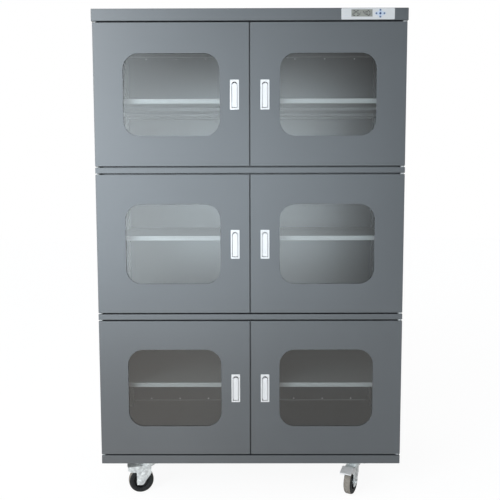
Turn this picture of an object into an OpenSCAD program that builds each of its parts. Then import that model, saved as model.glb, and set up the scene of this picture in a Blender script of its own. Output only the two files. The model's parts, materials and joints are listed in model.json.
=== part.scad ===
// Six-door electronic dry cabinet on four swivel casters.
// X runs to the viewer's right, Y into the cabinet from the door faces, Z up from the floor.
// The origin is on the floor, midway between the sides and midway between door faces and back.

/* [Cabinet] */
// Width over the top cap
cabinet_w = 1200; // [1040:10:1300]
// Depth from the door faces to the back panel
cabinet_d = 710; // [620:10:800]
// How far the top cap stands past the doors at each side
cap_overhang = 4; // [2:1:8]
// Height of the top cap
cap_h = 46; // [46:1:60]
// Height of the base
base_h = 34; // [30:1:60]
// Height of the cross rails between the tiers
rail_h = 22; // [18:1:40]
// How far the body sides lie inside the outer edges of the doors
side_inset = 4; // [2:1:8]
// Thickness of the sheet steel
sheet_t = 1.2; // [1:0.1:1.6]
// Width of the body frame behind each edge of a door
frame_land = 34; // [34:1:45]
// Depth of the front frame members
frame_d = 30; // [20:1:40]

/* [Doors] */
// Height of each door
door_h = 540; // [480:10:600]
// Thickness of each door
door_t = 30; // [29:1:34]
// Gap between the two doors of a tier
door_gap = 4; // [3:0.5:5]
// Gap between a door and the rail above or below it
tier_gap = 5; // [4:0.5:8]
// Thickness of the door seals
seal_t = 8; // [7:0.5:9]
// Width of the door seals
seal_w = 9; // [6:0.5:9]
// Corner radius of the door seals
seal_r = 12; // [10:1:20]

/* [Windows] */
// Width of the door beside each window opening
window_side = 113; // [108:1:130]
// Height of the door above and below each window opening
window_end = 115; // [100:1:140]
// Corner radius of the window openings
window_r = 60; // [40:1:80]
// Thickness of the window glass
glass_t = 5; // [4:0.5:6]
// How far the glass reaches past the opening
glass_lap = 14; // [10:1:20]
// How far the inner opening is wider than the outer one, at each side
tunnel_step = 6; // [3:0.5:7]

/* [Hinges] */
// Distance of a hinge pin from the outer edge of its door
pivot_in = 8; // [7:0.5:9]
// Distance of a hinge pin behind the door face
pivot_back = 14; // [12:0.5:16]
// Diameter of the hinge pins
pin_d = 8; // [6:0.5:8]
// Length of a hinge pin inside a door
pin_grip = 12; // [8:1:16]
// Diameter of the hinge washers
washer_d = 14; // [12:0.5:15]

/* [Latches] */
// Distance of a latch from the free edge of its door
latch_in = 56; // [52:1:60]
// Width of the latch plate
latch_w = 34; // [32:1:38]
// Height of the latch plate
latch_h = 112; // [110:1:124]
// Width of the latch case behind the door face
case_w = 28; // [28:0.5:30]
// Height of the latch case behind the door face
case_h = 104; // [104:1:108]
// Depth of the latch case behind the door face
case_d = 24; // [23:0.5:25]
// Width of the lever
lever_w = 19; // [16:0.5:19]
// Diameter of the key cylinders
key_d = 10; // [8:0.5:11]

/* [Shelves] */
// Distance of the shelf fronts behind the door faces
shelf_front = 80; // [72:1:110]
// Depth of each shelf
shelf_d = 600; // [480:5:600]
// Height of the shelf edge
shelf_h = 18; // [16:1:26]
// Pitch of the slots in the shelf uprights
slot_pitch = 30; // [28:1:32]

/* [Display] */
// Width of the display panel
panel_w = 201; // [190:1:220]
// Height of the display panel
panel_h = 42; // [40:1:44]
// Distance of the display panel from the end of the cap
panel_in = 53; // [40:1:80]
// Diameter of the four outer keys
key_cap_d = 7; // [6:0.5:8]
// Travel of the keys
key_travel = 0.8; // [0.5:0.1:1]

/* [Drying unit] */
// Width of the drying unit
unit_w = 240; // [220:2:260]
// Height of the drying unit
unit_h = 180; // [160:2:200]
// Depth of the drying unit
unit_d = 70; // [60:1:90]
// Travel of the vent shutter
shutter_travel = 12; // [10:1:12]

/* [Casters] */
// Height from the floor to the base
caster_h = 136; // [134:1:150]
// Diameter of the wheels
wheel_d = 100; // [94:1:102]
// Width of the wheel tread
tread_w = 30; // [26:1:32]
// Distance of the wheel axle from the swivel axis
caster_trail = 30; // [26:1:32]
// Distance of the casters from the ends of the cabinet
caster_in = 181; // [170:1:220]
// Distance of the casters from the front and back of the cabinet
caster_y = 58; // [56:1:80]
// Direction in which the front left wheel trails
front_left_turn = 195; // [0:1:359]
// Direction in which the front right wheel trails
front_right_turn = 243; // [0:1:359]
// Direction in which the rear left wheel trails
rear_left_turn = 75; // [0:1:359]
// Direction in which the rear right wheel trails
rear_right_turn = 110; // [0:1:359]

/* [Hidden] */

// Roundness of the drawn circles
$fn = 64;
// Colours as they look under plain light
paint = [0.40, 0.43, 0.46];
inner_paint = [0.47, 0.50, 0.53];
bright = [0.86, 0.87, 0.88];
zinc = [0.72, 0.74, 0.74];
seal_black = [0.10, 0.10, 0.11];
// How far a cut runs past the face that it opens
over = 1;
// Side of the cabinet: left and right
left = -1;
right = 1;
// Tiers, counted from the base
lower = 0;
middle = 1;
upper = middle + 1;
tiers = [lower, middle, upper];
// End of the cabinet: front and rear
front = -1;
rear = 1;
sides = [left, right];
// Clearance of a shaft in its bore, on the radius
run_clear = 0.05;
// Clearance between faces that slide past each other
slide_clear = 0.3;

// Planes of the cabinet
front_y = -cabinet_d / 2;
back_y = cabinet_d / 2;
face_y = front_y + door_t + seal_t;
door_edge = cabinet_w / 2 - cap_overhang;
body_edge = door_edge - side_inset;
door_w = door_edge - door_gap / 2;
window_w = door_w - 2 * window_side;
window_h = door_h - 2 * window_end;
base_top = caster_h + base_h;
tier_pitch = door_h + 2 * tier_gap + rail_h;
cap_z = base_top + len(tiers) * tier_pitch - rail_h;
cabinet_h = cap_z + cap_h;
body_h = cap_z - base_top;

// Inner edge of the side frames and half width of the mullion
side_land_x = door_edge - frame_land;
mullion_half = door_gap / 2 + frame_land;
// Depth of the lip along the inner edge of a side frame
side_lip = 15;
// Width of the rear return of a side panel
rear_return = 20;

// Shelf uprights: a slotted channel near each corner
upright_w = 28;
upright_t = 10;
upright_slot_w = 8;
upright_slot_h = 14;
upright_setback = 60;
upright_front = shelf_front + upright_setback;
upright_rear_gap = 90;
first_slot = 25;
shelf_slots = [8, 18, 28, 37, 46];
shelf_side_gap = 2;
shelf_edge = body_edge - sheet_t - upright_t - shelf_side_gap;
shelf_hem = 12;
rib_w = 30;
rib_h = 12;
rib_setback = 75;
clip_w = 6;
clip_h = 26;
clip_t = 2;
clip_reach = 14;
tongue_l = 4;
tongue_h = 8;

// Doors
hinge_block = 18;
bore_extra = 2;
seal_swing_clear = 1.5;
seal_in = 2 * pivot_in + seal_swing_clear;
seal_gap = slide_clear;
collar_step = 2;
collar_d = pin_d + 2 * collar_step;
pin_head_h = 4;

// Latch case, lever and strike notch, measured from the middle of the latch
plate_t = 2;
slot_w = 23;
slot_top = 48.5;
slot_bottom = 50;
case_back_t = 2;
lever_pivot_z = 34;
lever_pivot_y = 4;
lever_t = 5;
lever_proud = 1;
lever_low = 47.5;
lever_tip_r = 4;
lever_pin_d = 4;
lever_hub_d = 9;
arm_w = 6;
arm_h = 6;
arm_slot_clear = 1.5;
arm_slot_low = 26;
arm_slot_high = 6;
tongue_back = 10;
tongue_y = door_t + tongue_back;
tongue_t = 6;
tongue_reach = 4.5;
tongue_tip = mullion_half - tongue_reach;
notch_depth = 6.5;
notch_y = 14;
notch_low = 32;
notch_high = 8;
key_z = -30;
key_boss_wall = 3;
key_boss_d = key_d + 2 * key_boss_wall;
key_washer_gap = 0.5;
key_boss_l = 8;
key_length = 10;
key_slot_w = 1.6;
key_slot_l = 6;
key_slot_d = 3;
case_clear = 0.2;

// Display
panel_x = cabinet_w / 2 - panel_in - panel_w / 2;
panel_z = cap_z + cap_h / 2;
panel_t = 2;
panel_r = 3;
cutout_margin_w = 5.5;
cutout_margin_h = 2;
cutout_w = panel_w - 2 * cutout_margin_w;
cutout_h = panel_h - 2 * cutout_margin_h;
lcd_w = 80;
lcd_h = 27;
lcd_x = -23;
lcd_z = 3;
lcd_lap = 2;
lcd_t = 9;
keys_x = 46;
keys_z = 1.5;
key_step_x = 15;
key_step_z = 12.5;
centre_key_extra = 1;
centre_key_d = key_cap_d + centre_key_extra;
key_flange = 1;
key_flange_t = 1.2;
key_proud = 0.8;
key_fit = 0.15;
board_w = 176;
board_h = 36;
board_t = 1.6;
board_y = 14;
post_d = 5;
switch_w = 6;
switch_gap = 0.2;
stem_d = 3;

// Power inlet in the rear of the cap
inlet_in = 150;
inlet_x = cabinet_w / 2 - inlet_in;
inlet_flange_w = 48;
inlet_flange_h = 30;
inlet_flange_t = 2.5;
inlet_body_w = 27;
inlet_body_h = 20;
inlet_body_d = 28;
inlet_mouth_w = 24;
inlet_mouth_h = 16;
inlet_mouth_d = 16;
inlet_pin_w = 2;
inlet_pin_h = 4;
inlet_pin_l = 10;
inlet_pin_step = 7;
inlet_pin_drop = 2;

// Drying unit
unit_lift = 30;
unit_wall = 1.5;
unit_z = base_top + tier_pitch + unit_lift;
shutter_t = 1.5;
shutter_play = 0.4;
shutter_pocket = shutter_t + 2 * shutter_play;
shutter_margin_w = 6;
shutter_margin_h = 30;
shutter_w = unit_w - 2 * (unit_wall + shutter_margin_w) - shutter_travel;
shutter_h = unit_h - 2 * shutter_margin_h;
pocket_half_w = (shutter_w + shutter_travel) / 2 + slide_clear;
pocket_half_h = shutter_h / 2 + slide_clear;
vent_slots = 8;
vent_pitch = 24;
vent_slot_w = 7;
vent_slot_h = 80;
grille_slots = 7;
grille_pitch = 18;
grille_slot_h = 6;
grille_slot_w = 180;
core_w = 190;
core_h = 120;
core_d = 44;
core_foot = 12;
heater_d = 12;

// Base and cap details
drain_d = 20;
drain_in = 120;
wire_hole_d = 22;

// Casters
caster_x = cabinet_w / 2 - caster_in;
plate_l = 104;
plate_b = 84;
plate_thick = 4;
bolt_head_d = 13;
bolt_head_h = 5;
bolt_x = 40;
bolt_y = 31;
kingpin_d = 12;
kingpin_nut_d = 19;
kingpin_nut_h = 7;
race_d = 58;
race_lip_d = 64;
race_lip_h = 5;
roof_tail = 54;
braked_tail = 28;
roof_nose = 10;
roof_z = 110;
roof_t = 2.5;
roof_r = 26;
leg_in = 18.5;
// Outline of a leg before and behind the axle, in shares of the wheel's radius
leg_front_shares = [[0.36, -0.30], [-0.12, -0.30], [-0.70, 0.46], [-0.80, 0.62]];
leg_rear_shares = [[1.08, 0.96], [0.84, 0.80], [0.44, 0.74], [0.38, 0.68]];
leg_t = 2.5;
axle_d = 8;
axle_head_d = 13;
axle_head_h = 5;
axle_z = wheel_d / 2;
leg_foot_r = 17;
leg_foot_u = 2.5;
hub_r = 29;
hub_boss_r = 11;
hub_w = 36;
web_w = 8;
tyre_shoulder = 4;
wheel_ring_r = 38;
wheel_ring_d = 1.2;
brake_pivot_u = 50;
brake_pivot_z = 104;
brake_pin_d = 5;
brake_arm_t = 2;
brake_arm_gap = 0.4;
brake_lip_r = 3;
brake_eye_r = 5;
pedal_l = 45;
shoe_w_share = 0.8;
// Outlines of the pedal's plate, arms and shoe round its pivot, in shares of its length
pedal_shares = [[0.22, 0.38], [1.01, 0.06], [1.01, 0], [0.96, 0.02], [0.20, 0.33]];
brake_arm_shares = [[-0.11, -0.02], [-0.09, 0.13], [0.22, 0.38], [1, 0.05], [1, 0], [0.07, -0.11]];
shoe_shares = [[0.245, 0.335], [0.467, 0.245], [0.42, -0.29], [0.29, -0.245]];
brake_half = leg_in + leg_t + brake_arm_gap + brake_arm_t;

function door_z(tier) = base_top + tier_gap + tier * tier_pitch;
function rail_z(tier) = door_z(tier) + door_h + tier_gap;
function slot_z(n) = base_top + first_slot + n * slot_pitch;

// Rectangle with round corners, centred
module round_rect(w, h, r) {
    square([w - 2 * r, h], center = true);
    square([w, h - 2 * r], center = true);
    for (x = sides, y = sides)
        translate([x * (w / 2 - r), y * (h / 2 - r)]) circle(r);
}

// Draws a shape on the front plane and gives it a depth towards the back
module slab(y, d) {
    translate([0, y + d, 0]) rotate([90, 0, 0]) linear_extrude(d) children();
}

// Draws a profile of depth and height and runs it along X from x
module run_x(x, l) {
    translate([x, 0, 0]) rotate([90, 0, 90]) linear_extrude(l) children();
}

// Box from one corner to the other
module span(low, high) {
    translate(low) cube(high - low);
}

// Puts a left-hand piece at the left, or its mirror image at the right
module at_side(side) {
    if (side == left) children();
    else mirror([1, 0, 0]) children();
}

// Puts a piece drawn from the outer bottom corner of a door face at its door
module at_door(side, tier) {
    at_side(side) translate([-door_edge, front_y, door_z(tier)]) children();
}

// Puts a piece drawn round the middle of a latch at its door
module at_latch(side, tier) {
    at_door(side, tier) translate([door_w - latch_in, 0, door_h / 2]) children();
}

// Steel sides with a front frame return, a rear return and two slotted uprights each
module side_panels() {
    color(paint) for (side = sides) at_side(side) side_panel();
}

module side_panel() {
    difference() {
        translate([0, 0, base_top]) linear_extrude(body_h) side_profile();
        for (n = [0 : floor((body_h - 2 * first_slot) / slot_pitch)])
            for (y = [front_y + upright_front, back_y - upright_rear_gap])
                translate([0, y, slot_z(n)])
                    span([-body_edge + sheet_t + over, -upright_slot_w / 2, -upright_slot_h / 2],
                         [-shelf_edge + shelf_side_gap, upright_slot_w / 2, upright_slot_h / 2]);
    }
}

module side_profile() {
    side_depth = back_y - sheet_t - face_y;
    translate([-body_edge, face_y]) square([sheet_t, side_depth]);
    translate([-body_edge, face_y]) square([body_edge - side_land_x, sheet_t]);
    translate([-side_land_x - sheet_t, face_y]) square([sheet_t, side_lip]);
    translate([-body_edge, back_y - 2 * sheet_t]) square([rear_return, sheet_t]);
    for (y = [front_y + upright_front, back_y - upright_rear_gap])
        translate([-body_edge + sheet_t, y]) upright_profile();
}

// Channel welded to the side by its two feet
module upright_profile() {
    translate([upright_t - sheet_t, -upright_w / 2]) square([sheet_t, upright_w]);
    for (s = sides)
        translate([0, s * (upright_w - sheet_t) / 2 - sheet_t / 2]) square([upright_t, sheet_t]);
}

// Back sheet with the vent of the drying unit
module back_panel() {
    color(paint) difference() {
        span([-body_edge, back_y - sheet_t, base_top], [body_edge, back_y, cap_z]);
        vents(back_y - sheet_t, sheet_t, 0);
    }
}

// Row of upright vent slots through a wall that starts at y
module vents(y, d, shift) {
    translate([shift, 0, unit_z + unit_h / 2]) slab(y - over, d + 2 * over)
        for (i = [0 : vent_slots - 1])
            translate([(i - (vent_slots - 1) / 2) * vent_pitch, 0])
                upright_slot(vent_slot_w, vent_slot_h);
}

// Upright slot with round ends, centred
module upright_slot(w, h) {
    square([w, h - w], center = true);
    for (s = sides) translate([0, s * (h - w) / 2]) circle(d = w);
}

// Hollow cap over the whole cabinet, which holds the controls
module top_cap() {
    color(paint) difference() {
        span([-cabinet_w / 2, front_y, cap_z], [cabinet_w / 2, back_y, cabinet_h]);
        span([-cabinet_w / 2 + sheet_t, front_y + sheet_t, cap_z + sheet_t],
             [cabinet_w / 2 - sheet_t, back_y - sheet_t, cabinet_h - sheet_t]);
        translate([panel_x, 0, panel_z]) slab(front_y - over, sheet_t + 2 * over)
            square([cutout_w, cutout_h], center = true);
        translate([inlet_x, 0, panel_z]) slab(back_y - sheet_t - over, sheet_t + 2 * over)
            square([inlet_body_w + case_clear, inlet_body_h + case_clear], center = true);
        for (side = sides) at_side(side)
            translate([-door_edge + pivot_in, front_y + pivot_back, cap_z - over])
                cylinder(d = pin_d + 2 * run_clear, h = sheet_t + 2 * over);
        translate([0, back_y - wire_hole_d, cap_z - over])
            cylinder(d = wire_hole_d, h = sheet_t + 2 * over);
    }
}

// Hollow base with drain holes underneath
module base_tray() {
    color(paint) difference() {
        span([-door_edge, front_y, caster_h], [door_edge, back_y, base_top]);
        span([-door_edge + sheet_t, front_y + sheet_t, caster_h + sheet_t],
             [door_edge - sheet_t, back_y - sheet_t, base_top - sheet_t]);
        for (side = sides) at_side(side)
            translate([-door_edge + pivot_in, front_y + pivot_back, base_top - sheet_t - over])
                cylinder(d = pin_d + 2 * run_clear, h = sheet_t + 2 * over);
        for (x = sides, y = sides)
            translate([x * (door_edge - drain_in) / 2, y * (cabinet_d / 2 - drain_in), caster_h - over])
                cylinder(d = drain_d, h = sheet_t + 2 * over);
    }
}

// Two rails with a nose flush with the doors, and a plain sill and header
module cross_rails() {
    color(paint) {
        for (tier = [lower, middle]) translate([0, 0, rail_z(tier)]) cross_rail();
        translate([0, 0, base_top]) frame_end();
        translate([0, 0, cap_z - tier_gap - frame_land]) frame_end();
    }
}

// Channel behind the seals along the base or the cap, open to the rear
module frame_end() {
    difference() {
        span([-side_land_x, face_y, 0], [side_land_x, face_y + frame_d, tier_gap + frame_land]);
        span([-side_land_x + sheet_t, face_y + sheet_t, sheet_t],
             [side_land_x - sheet_t, face_y + frame_d + over, tier_gap + frame_land - sheet_t]);
    }
}

module cross_rail() {
    reach = tier_gap + frame_land;
    difference() {
        union() {
            span([-door_edge, front_y, 0], [door_edge, face_y, rail_h]);
            span([-side_land_x, face_y, -reach], [side_land_x, face_y + frame_d, rail_h + reach]);
        }
        span([-door_edge + sheet_t, front_y + sheet_t, sheet_t],
             [door_edge - sheet_t, face_y - sheet_t, rail_h - sheet_t]);
        span([-side_land_x + sheet_t, face_y + sheet_t, sheet_t - reach],
             [side_land_x - sheet_t, face_y + frame_d + over, rail_h + reach - sheet_t]);
        span([-side_land_x + sheet_t, front_y + sheet_t, sheet_t],
             [side_land_x - sheet_t, face_y + frame_d + over, rail_h - sheet_t]);
        for (side = sides) at_side(side)
            translate([-door_edge + pivot_in, front_y + pivot_back, -over])
                cylinder(d = pin_d + 2 * run_clear, h = rail_h + 2 * over);
    }
}

// Upright between the doors of each tier, with a strike notch for each latch
module centre_mullion() {
    color(paint) for (tier = tiers) mullion_piece(tier);
}

module mullion_piece(tier) {
    low = door_z(tier) + frame_land;
    high = door_z(tier) + door_h - frame_land;
    difference() {
        span([-mullion_half, face_y, low], [mullion_half, face_y + frame_d, high]);
        span([-mullion_half + sheet_t, face_y + sheet_t, low - over],
             [mullion_half - sheet_t, face_y + frame_d - sheet_t, high + over]);
        for (side = sides) at_side(side)
            translate([-mullion_half - over, face_y - over, door_z(tier) + door_h / 2 + lever_pivot_z])
                span([0, 0, -notch_low], [notch_depth + over, notch_y + over, notch_high]);
    }
}

// Five pan shelves
module shelves() {
    color(inner_paint) for (n = shelf_slots) translate([0, front_y + shelf_front, slot_z(n)]) shelf();
}

// Shelf pan: top sheet, skirts all round, hems and two ribs underneath
module shelf() {
    half = shelf_h / 2;
    difference() {
        span([-shelf_edge, 0, -half], [shelf_edge, shelf_d, half]);
        span([-shelf_edge + sheet_t, sheet_t, -half + sheet_t],
             [shelf_edge - sheet_t, shelf_d - sheet_t, half - sheet_t]);
        span([-shelf_edge + sheet_t, shelf_hem, -half - over],
             [shelf_edge - sheet_t, shelf_d - shelf_hem, half - sheet_t]);
    }
    for (y = [rib_setback, shelf_d / 2, shelf_d - rib_setback])
        translate([0, y, half - sheet_t - rib_h]) shelf_rib();
}

// Channel welded under the top sheet
module shelf_rib() {
    difference() {
        span([-shelf_edge + sheet_t / 2, -rib_w / 2, 0],
             [shelf_edge - sheet_t / 2, rib_w / 2, rib_h + sheet_t / 2]);
        span([-shelf_edge + sheet_t, -rib_w / 2 + sheet_t, sheet_t],
             [shelf_edge - sheet_t, rib_w / 2 - sheet_t, rib_h]);
    }
}

// Four clips under each shelf, hooked into the uprights
module shelf_clips() {
    color(zinc)
        for (n = shelf_slots, side = sides, y = [front_y + upright_front, back_y - upright_rear_gap])
            at_side(side)
                translate([-shelf_edge + shelf_side_gap, y, slot_z(n) - shelf_h / 2]) shelf_clip();
}

// Bent clip: a tongue in the slot, a leaf on the upright and a seat under the shelf
module shelf_clip() {
    leaf_x = -2 * shelf_side_gap;
    span([leaf_x, -clip_w / 2, -clip_h + clip_t], [leaf_x + shelf_side_gap - slide_clear, clip_w / 2, 0]);
    span([leaf_x - tongue_l, -clip_w / 2, clip_t - clip_h],
         [leaf_x, clip_w / 2, clip_t - clip_h + tongue_h]);
    span([leaf_x, -clip_w / 2, -clip_t], [clip_reach, clip_w / 2, 0]);
}

// Eight hinge pins: one in the cap and one in the base at each side, and one through each rail end
module hinge_pins() {
    color(zinc) for (side = sides) at_side(side)
        translate([-door_edge + pivot_in, front_y + pivot_back, 0]) {
            head_pin(base_top, 1);
            head_pin(cap_z, -1);
            for (tier = [lower, middle]) rail_pin(rail_z(tier));
        }
}

// Pin whose head lies inside the base or the cap
module head_pin(z, way) {
    translate([0, 0, z]) mirror([0, 0, way > 0 ? 0 : 1]) {
        translate([0, 0, -sheet_t]) cylinder(d = pin_d, h = sheet_t + tier_gap + pin_grip);
        translate([0, 0, -sheet_t - pin_head_h]) cylinder(d = collar_d, h = pin_head_h);
    }
}

// Pin through a rail, with a collar inside it
module rail_pin(z) {
    translate([0, 0, z - tier_gap - pin_grip]) cylinder(d = pin_d, h = rail_h + 2 * (tier_gap + pin_grip));
    translate([0, 0, z + sheet_t]) cylinder(d = collar_d, h = rail_h - 2 * sheet_t);
}

// White washers that keep the doors off the rails
module hinge_washers() {
    color([0.93, 0.93, 0.92]) for (side = sides, tier = tiers) at_side(side)
        translate([-door_edge + pivot_in, front_y + pivot_back, door_z(tier)])
            for (z = [-tier_gap, door_h]) translate([0, 0, z]) difference() {
                cylinder(d = washer_d, h = tier_gap);
                translate([0, 0, -over]) cylinder(d = pin_d + 2 * run_clear, h = tier_gap + 2 * over);
            }
}

// Rubber seal on the body frame behind each door
module door_gaskets() {
    color(seal_black) for (side = sides, tier = tiers) at_door(side, tier)
        translate([door_w / 2, 0, door_h / 2]) slab(door_t + seal_gap, seal_t - seal_gap) difference() {
            round_rect(door_w - 2 * seal_in, door_h - 2 * seal_in, seal_r);
            round_rect(door_w - 2 * (seal_in + seal_w), door_h - 2 * (seal_in + seal_w), seal_r / 2);
        }
}

// Door leaf: a folded steel skin and liner with a window tunnel, hinge blocks and latch cut-outs
module door(side, tier) {
    color(paint) at_door(side, tier) difference() {
        union() {
            difference() {
                cube([door_w, door_t, door_h]);
                span([sheet_t, sheet_t, sheet_t], [door_w - sheet_t, door_t - sheet_t, door_h - sheet_t]);
            }
            translate([door_w / 2, 0, door_h / 2]) slab(sheet_t + glass_t, door_t - sheet_t - glass_t)
                round_rect(window_w + 2 * (tunnel_step + sheet_t), window_h + 2 * (tunnel_step + sheet_t),
                           window_r + tunnel_step + sheet_t);
            for (z = [sheet_t / 2, door_h - sheet_t / 2 - hinge_block])
                span([sheet_t / 2, sheet_t / 2, z],
                     [hinge_block, door_t - sheet_t / 2, z + hinge_block]);
        }
        translate([door_w / 2, 0, door_h / 2]) slab(-over, sheet_t + glass_t + over)
            round_rect(window_w, window_h, window_r);
        translate([door_w / 2, 0, door_h / 2]) slab(sheet_t + glass_t / 2, door_t)
            round_rect(window_w + 2 * tunnel_step, window_h + 2 * tunnel_step, window_r + tunnel_step);
        translate([door_w - latch_in, 0, door_h / 2]) latch_cuts();
        for (z = [-over, door_h - pin_grip - bore_extra])
            translate([pivot_in, pivot_back, z])
                cylinder(d = pin_d + 2 * run_clear, h = pin_grip + bore_extra + over);
    }
}

// Openings in a door leaf for the latch case and for the lever's arm
module latch_cuts() {
    slab(-over, sheet_t + 2 * over)
        square([case_w + 2 * case_clear, case_h + 2 * case_clear], center = true);
    span([-arm_w / 2 - arm_slot_clear, door_t - sheet_t - over, lever_pivot_z - arm_slot_low],
         [arm_w / 2 + arm_slot_clear, door_t + over, lever_pivot_z + arm_slot_high]);
}

// Window glass, glued to the back of the door skin
module glass(side, tier) {
    color([0.75, 0.80, 0.82, 0.45]) at_door(side, tier)
        translate([door_w / 2, 0, door_h / 2]) slab(sheet_t, glass_t)
            round_rect(window_w + 2 * glass_lap, window_h + 2 * glass_lap, window_r + glass_lap);
}

// Flush latch case with its plate on the door face
module latch_case(side, tier) {
    color(bright) at_latch(side, tier) difference() {
        union() {
            slab(-plate_t, plate_t) round_rect(latch_w, latch_h, plate_t);
            slab(-over, case_d + over) square([case_w, case_h], center = true);
        }
        slab(-plate_t - over, case_d - case_back_t + plate_t + over) lever_slot();
        span([-arm_w / 2 - arm_slot_clear, 0, lever_pivot_z - arm_slot_low],
             [arm_w / 2 + arm_slot_clear, case_d + over, lever_pivot_z + arm_slot_high]);
        translate([-case_w / 2 - over, lever_pivot_y, lever_pivot_z]) rotate([0, 90, 0])
            cylinder(d = lever_pin_d + 2 * run_clear, h = case_w + 2 * over);
    }
}

// Slot of the lever: round at the top, square at the bottom
module lever_slot() {
    top = slot_top - slot_w / 2;
    translate([0, top]) circle(d = slot_w);
    translate([-slot_w / 2, -slot_bottom]) square([slot_w, slot_bottom + top]);
}

// Lift lever with its pin, its arm through the door and the tongue at the arm's end
module lever(side, tier, keyed) {
    color(bright) at_latch(side, tier) difference() {
        union() {
            slab(-plate_t - lever_proud, lever_t) lever_outline();
            translate([-case_w / 2 + case_clear, lever_pivot_y, lever_pivot_z]) rotate([0, 90, 0])
                cylinder(d = lever_pin_d, h = case_w - 2 * case_clear);
            translate([-lever_w / 2, lever_pivot_y, lever_pivot_z]) rotate([0, 90, 0])
                cylinder(d = lever_hub_d, h = lever_w);
            span([-arm_w / 2, lever_pivot_y, lever_pivot_z - arm_h / 2],
                 [arm_w / 2, tongue_y + tongue_t, lever_pivot_z + arm_h / 2]);
            span([-arm_w / 2, tongue_y, lever_pivot_z - arm_h / 2],
                 [door_gap / 2 + latch_in - tongue_tip, tongue_y + tongue_t, lever_pivot_z + arm_h / 2]);
            if (keyed) translate([0, 0, key_z]) slab(-plate_t, key_boss_l + plate_t) circle(d = key_boss_d);
        }
        if (keyed) translate([0, 0, key_z])
            slab(-plate_t - lever_proud - over, key_boss_l + plate_t + lever_proud + 2 * over)
                circle(d = key_d + 2 * run_clear);
    }
}

module lever_outline() {
    translate([0, lever_pivot_z]) circle(d = lever_w);
    translate([-lever_w / 2, lever_tip_r - lever_low])
        square([lever_w, lever_pivot_z + lever_low - lever_tip_r]);
    translate([lever_tip_r - lever_w / 2, -lever_low]) square([lever_w - 2 * lever_tip_r, 2 * lever_tip_r]);
    for (x = sides)
        translate([x * (lever_w / 2 - lever_tip_r), lever_tip_r - lever_low]) circle(lever_tip_r);
}

// Key cylinder in the lever, held by a washer behind its boss
module key_cylinder(side, tier) {
    color(zinc) at_latch(side, tier) translate([0, 0, key_z]) {
        difference() {
            slab(-plate_t - lever_proud, key_length + slide_clear + plate_t) circle(d = key_d);
            slab(-plate_t - lever_proud - over, key_slot_d + over)
                square([key_slot_w, key_slot_l], center = true);
        }
        slab(key_boss_l + slide_clear, key_length - key_boss_l - lever_proud)
            circle(d = key_boss_d - 2 * key_washer_gap);
    }
}

// Panel on the front of the cap, with posts for the board behind it
module display_bezel() {
    color([0.90, 0.91, 0.93]) translate([panel_x, 0, panel_z]) difference() {
        union() {
            slab(front_y - panel_t, panel_t) round_rect(panel_w, panel_h, panel_r);
            for (x = sides, z = sides)
                translate([x * (board_w / 2 - post_d), 0, z * (board_h / 2 - post_d / 2)])
                    slab(front_y - panel_t / 2, board_y + panel_t / 2) circle(d = post_d);
        }
        translate([lcd_x, 0, lcd_z]) slab(front_y - panel_t - over, panel_t + 2 * over)
            square([lcd_w, lcd_h], center = true);
        translate([keys_x, 0, keys_z]) {
            slab(front_y - panel_t - over, panel_t + 2 * over) circle(d = centre_key_d + 2 * key_fit);
            for (s = sides) {
                translate([s * key_step_x, 0, 0]) slab(front_y - panel_t - over, panel_t + 2 * over)
                    circle(d = key_cap_d + 2 * key_fit);
                translate([0, 0, s * key_step_z]) slab(front_y - panel_t - over, panel_t + 2 * over)
                    circle(d = key_cap_d + 2 * key_fit);
            }
        }
    }
}

// Display module behind the panel's opening, as deep as the board stands off
module display_window() {
    color([0.62, 0.66, 0.66]) translate([panel_x + lcd_x, 0, panel_z + lcd_z - lcd_lap / 2])
        slab(front_y, board_y) square([lcd_w + 2 * lcd_lap, lcd_h + lcd_lap], center = true);
}

// Circuit board with a switch behind each key
module control_board() {
    switch_front = key_flange_t + key_travel + switch_gap + stem_length();
    color([0.12, 0.36, 0.22]) translate([panel_x, 0, panel_z]) {
        slab(front_y + board_y, board_t) square([board_w, board_h], center = true);
        translate([keys_x, 0, keys_z]) {
            slab(front_y + switch_front, board_y - switch_front) square(switch_w, center = true);
            for (s = sides) {
                translate([s * key_step_x, 0, 0])
                    slab(front_y + switch_front, board_y - switch_front) square(switch_w, center = true);
                translate([0, 0, s * key_step_z])
                    slab(front_y + switch_front, board_y - switch_front) square(switch_w, center = true);
            }
        }
    }
}

function stem_length() = board_y / 2;

// Key: a cap through the panel, a flange behind it and a stem to its switch
module panel_key(x, z, d, tint) {
    color(tint) translate([panel_x + keys_x + x * key_step_x, 0, panel_z + keys_z + z * key_step_z]) {
        slab(front_y - panel_t - key_proud, panel_t + key_proud) circle(d = d);
        slab(front_y, key_flange_t) circle(d = d + 2 * key_flange);
        slab(front_y + key_flange_t, stem_length()) circle(d = stem_d);
    }
}

// Mains inlet in the rear of the cap, with three pins in its mouth
module power_inlet() {
    color(seal_black) translate([inlet_x, 0, panel_z]) {
        difference() {
            union() {
                slab(back_y, inlet_flange_t) round_rect(inlet_flange_w, inlet_flange_h, inlet_flange_t);
                slab(back_y + inlet_flange_t / 2 - inlet_body_d, inlet_body_d)
                    square([inlet_body_w, inlet_body_h], center = true);
            }
            slab(back_y + inlet_flange_t - inlet_mouth_d, inlet_mouth_d + over)
                square([inlet_mouth_w, inlet_mouth_h], center = true);
        }
        for (x = [-1, 0, 1])
            translate([x * inlet_pin_step, 0, x == 0 ? inlet_pin_drop : -inlet_pin_drop])
                slab(back_y + inlet_flange_t - inlet_mouth_d - over, inlet_pin_l + over)
                    square([inlet_pin_w, inlet_pin_h], center = true);
    }
}

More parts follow.
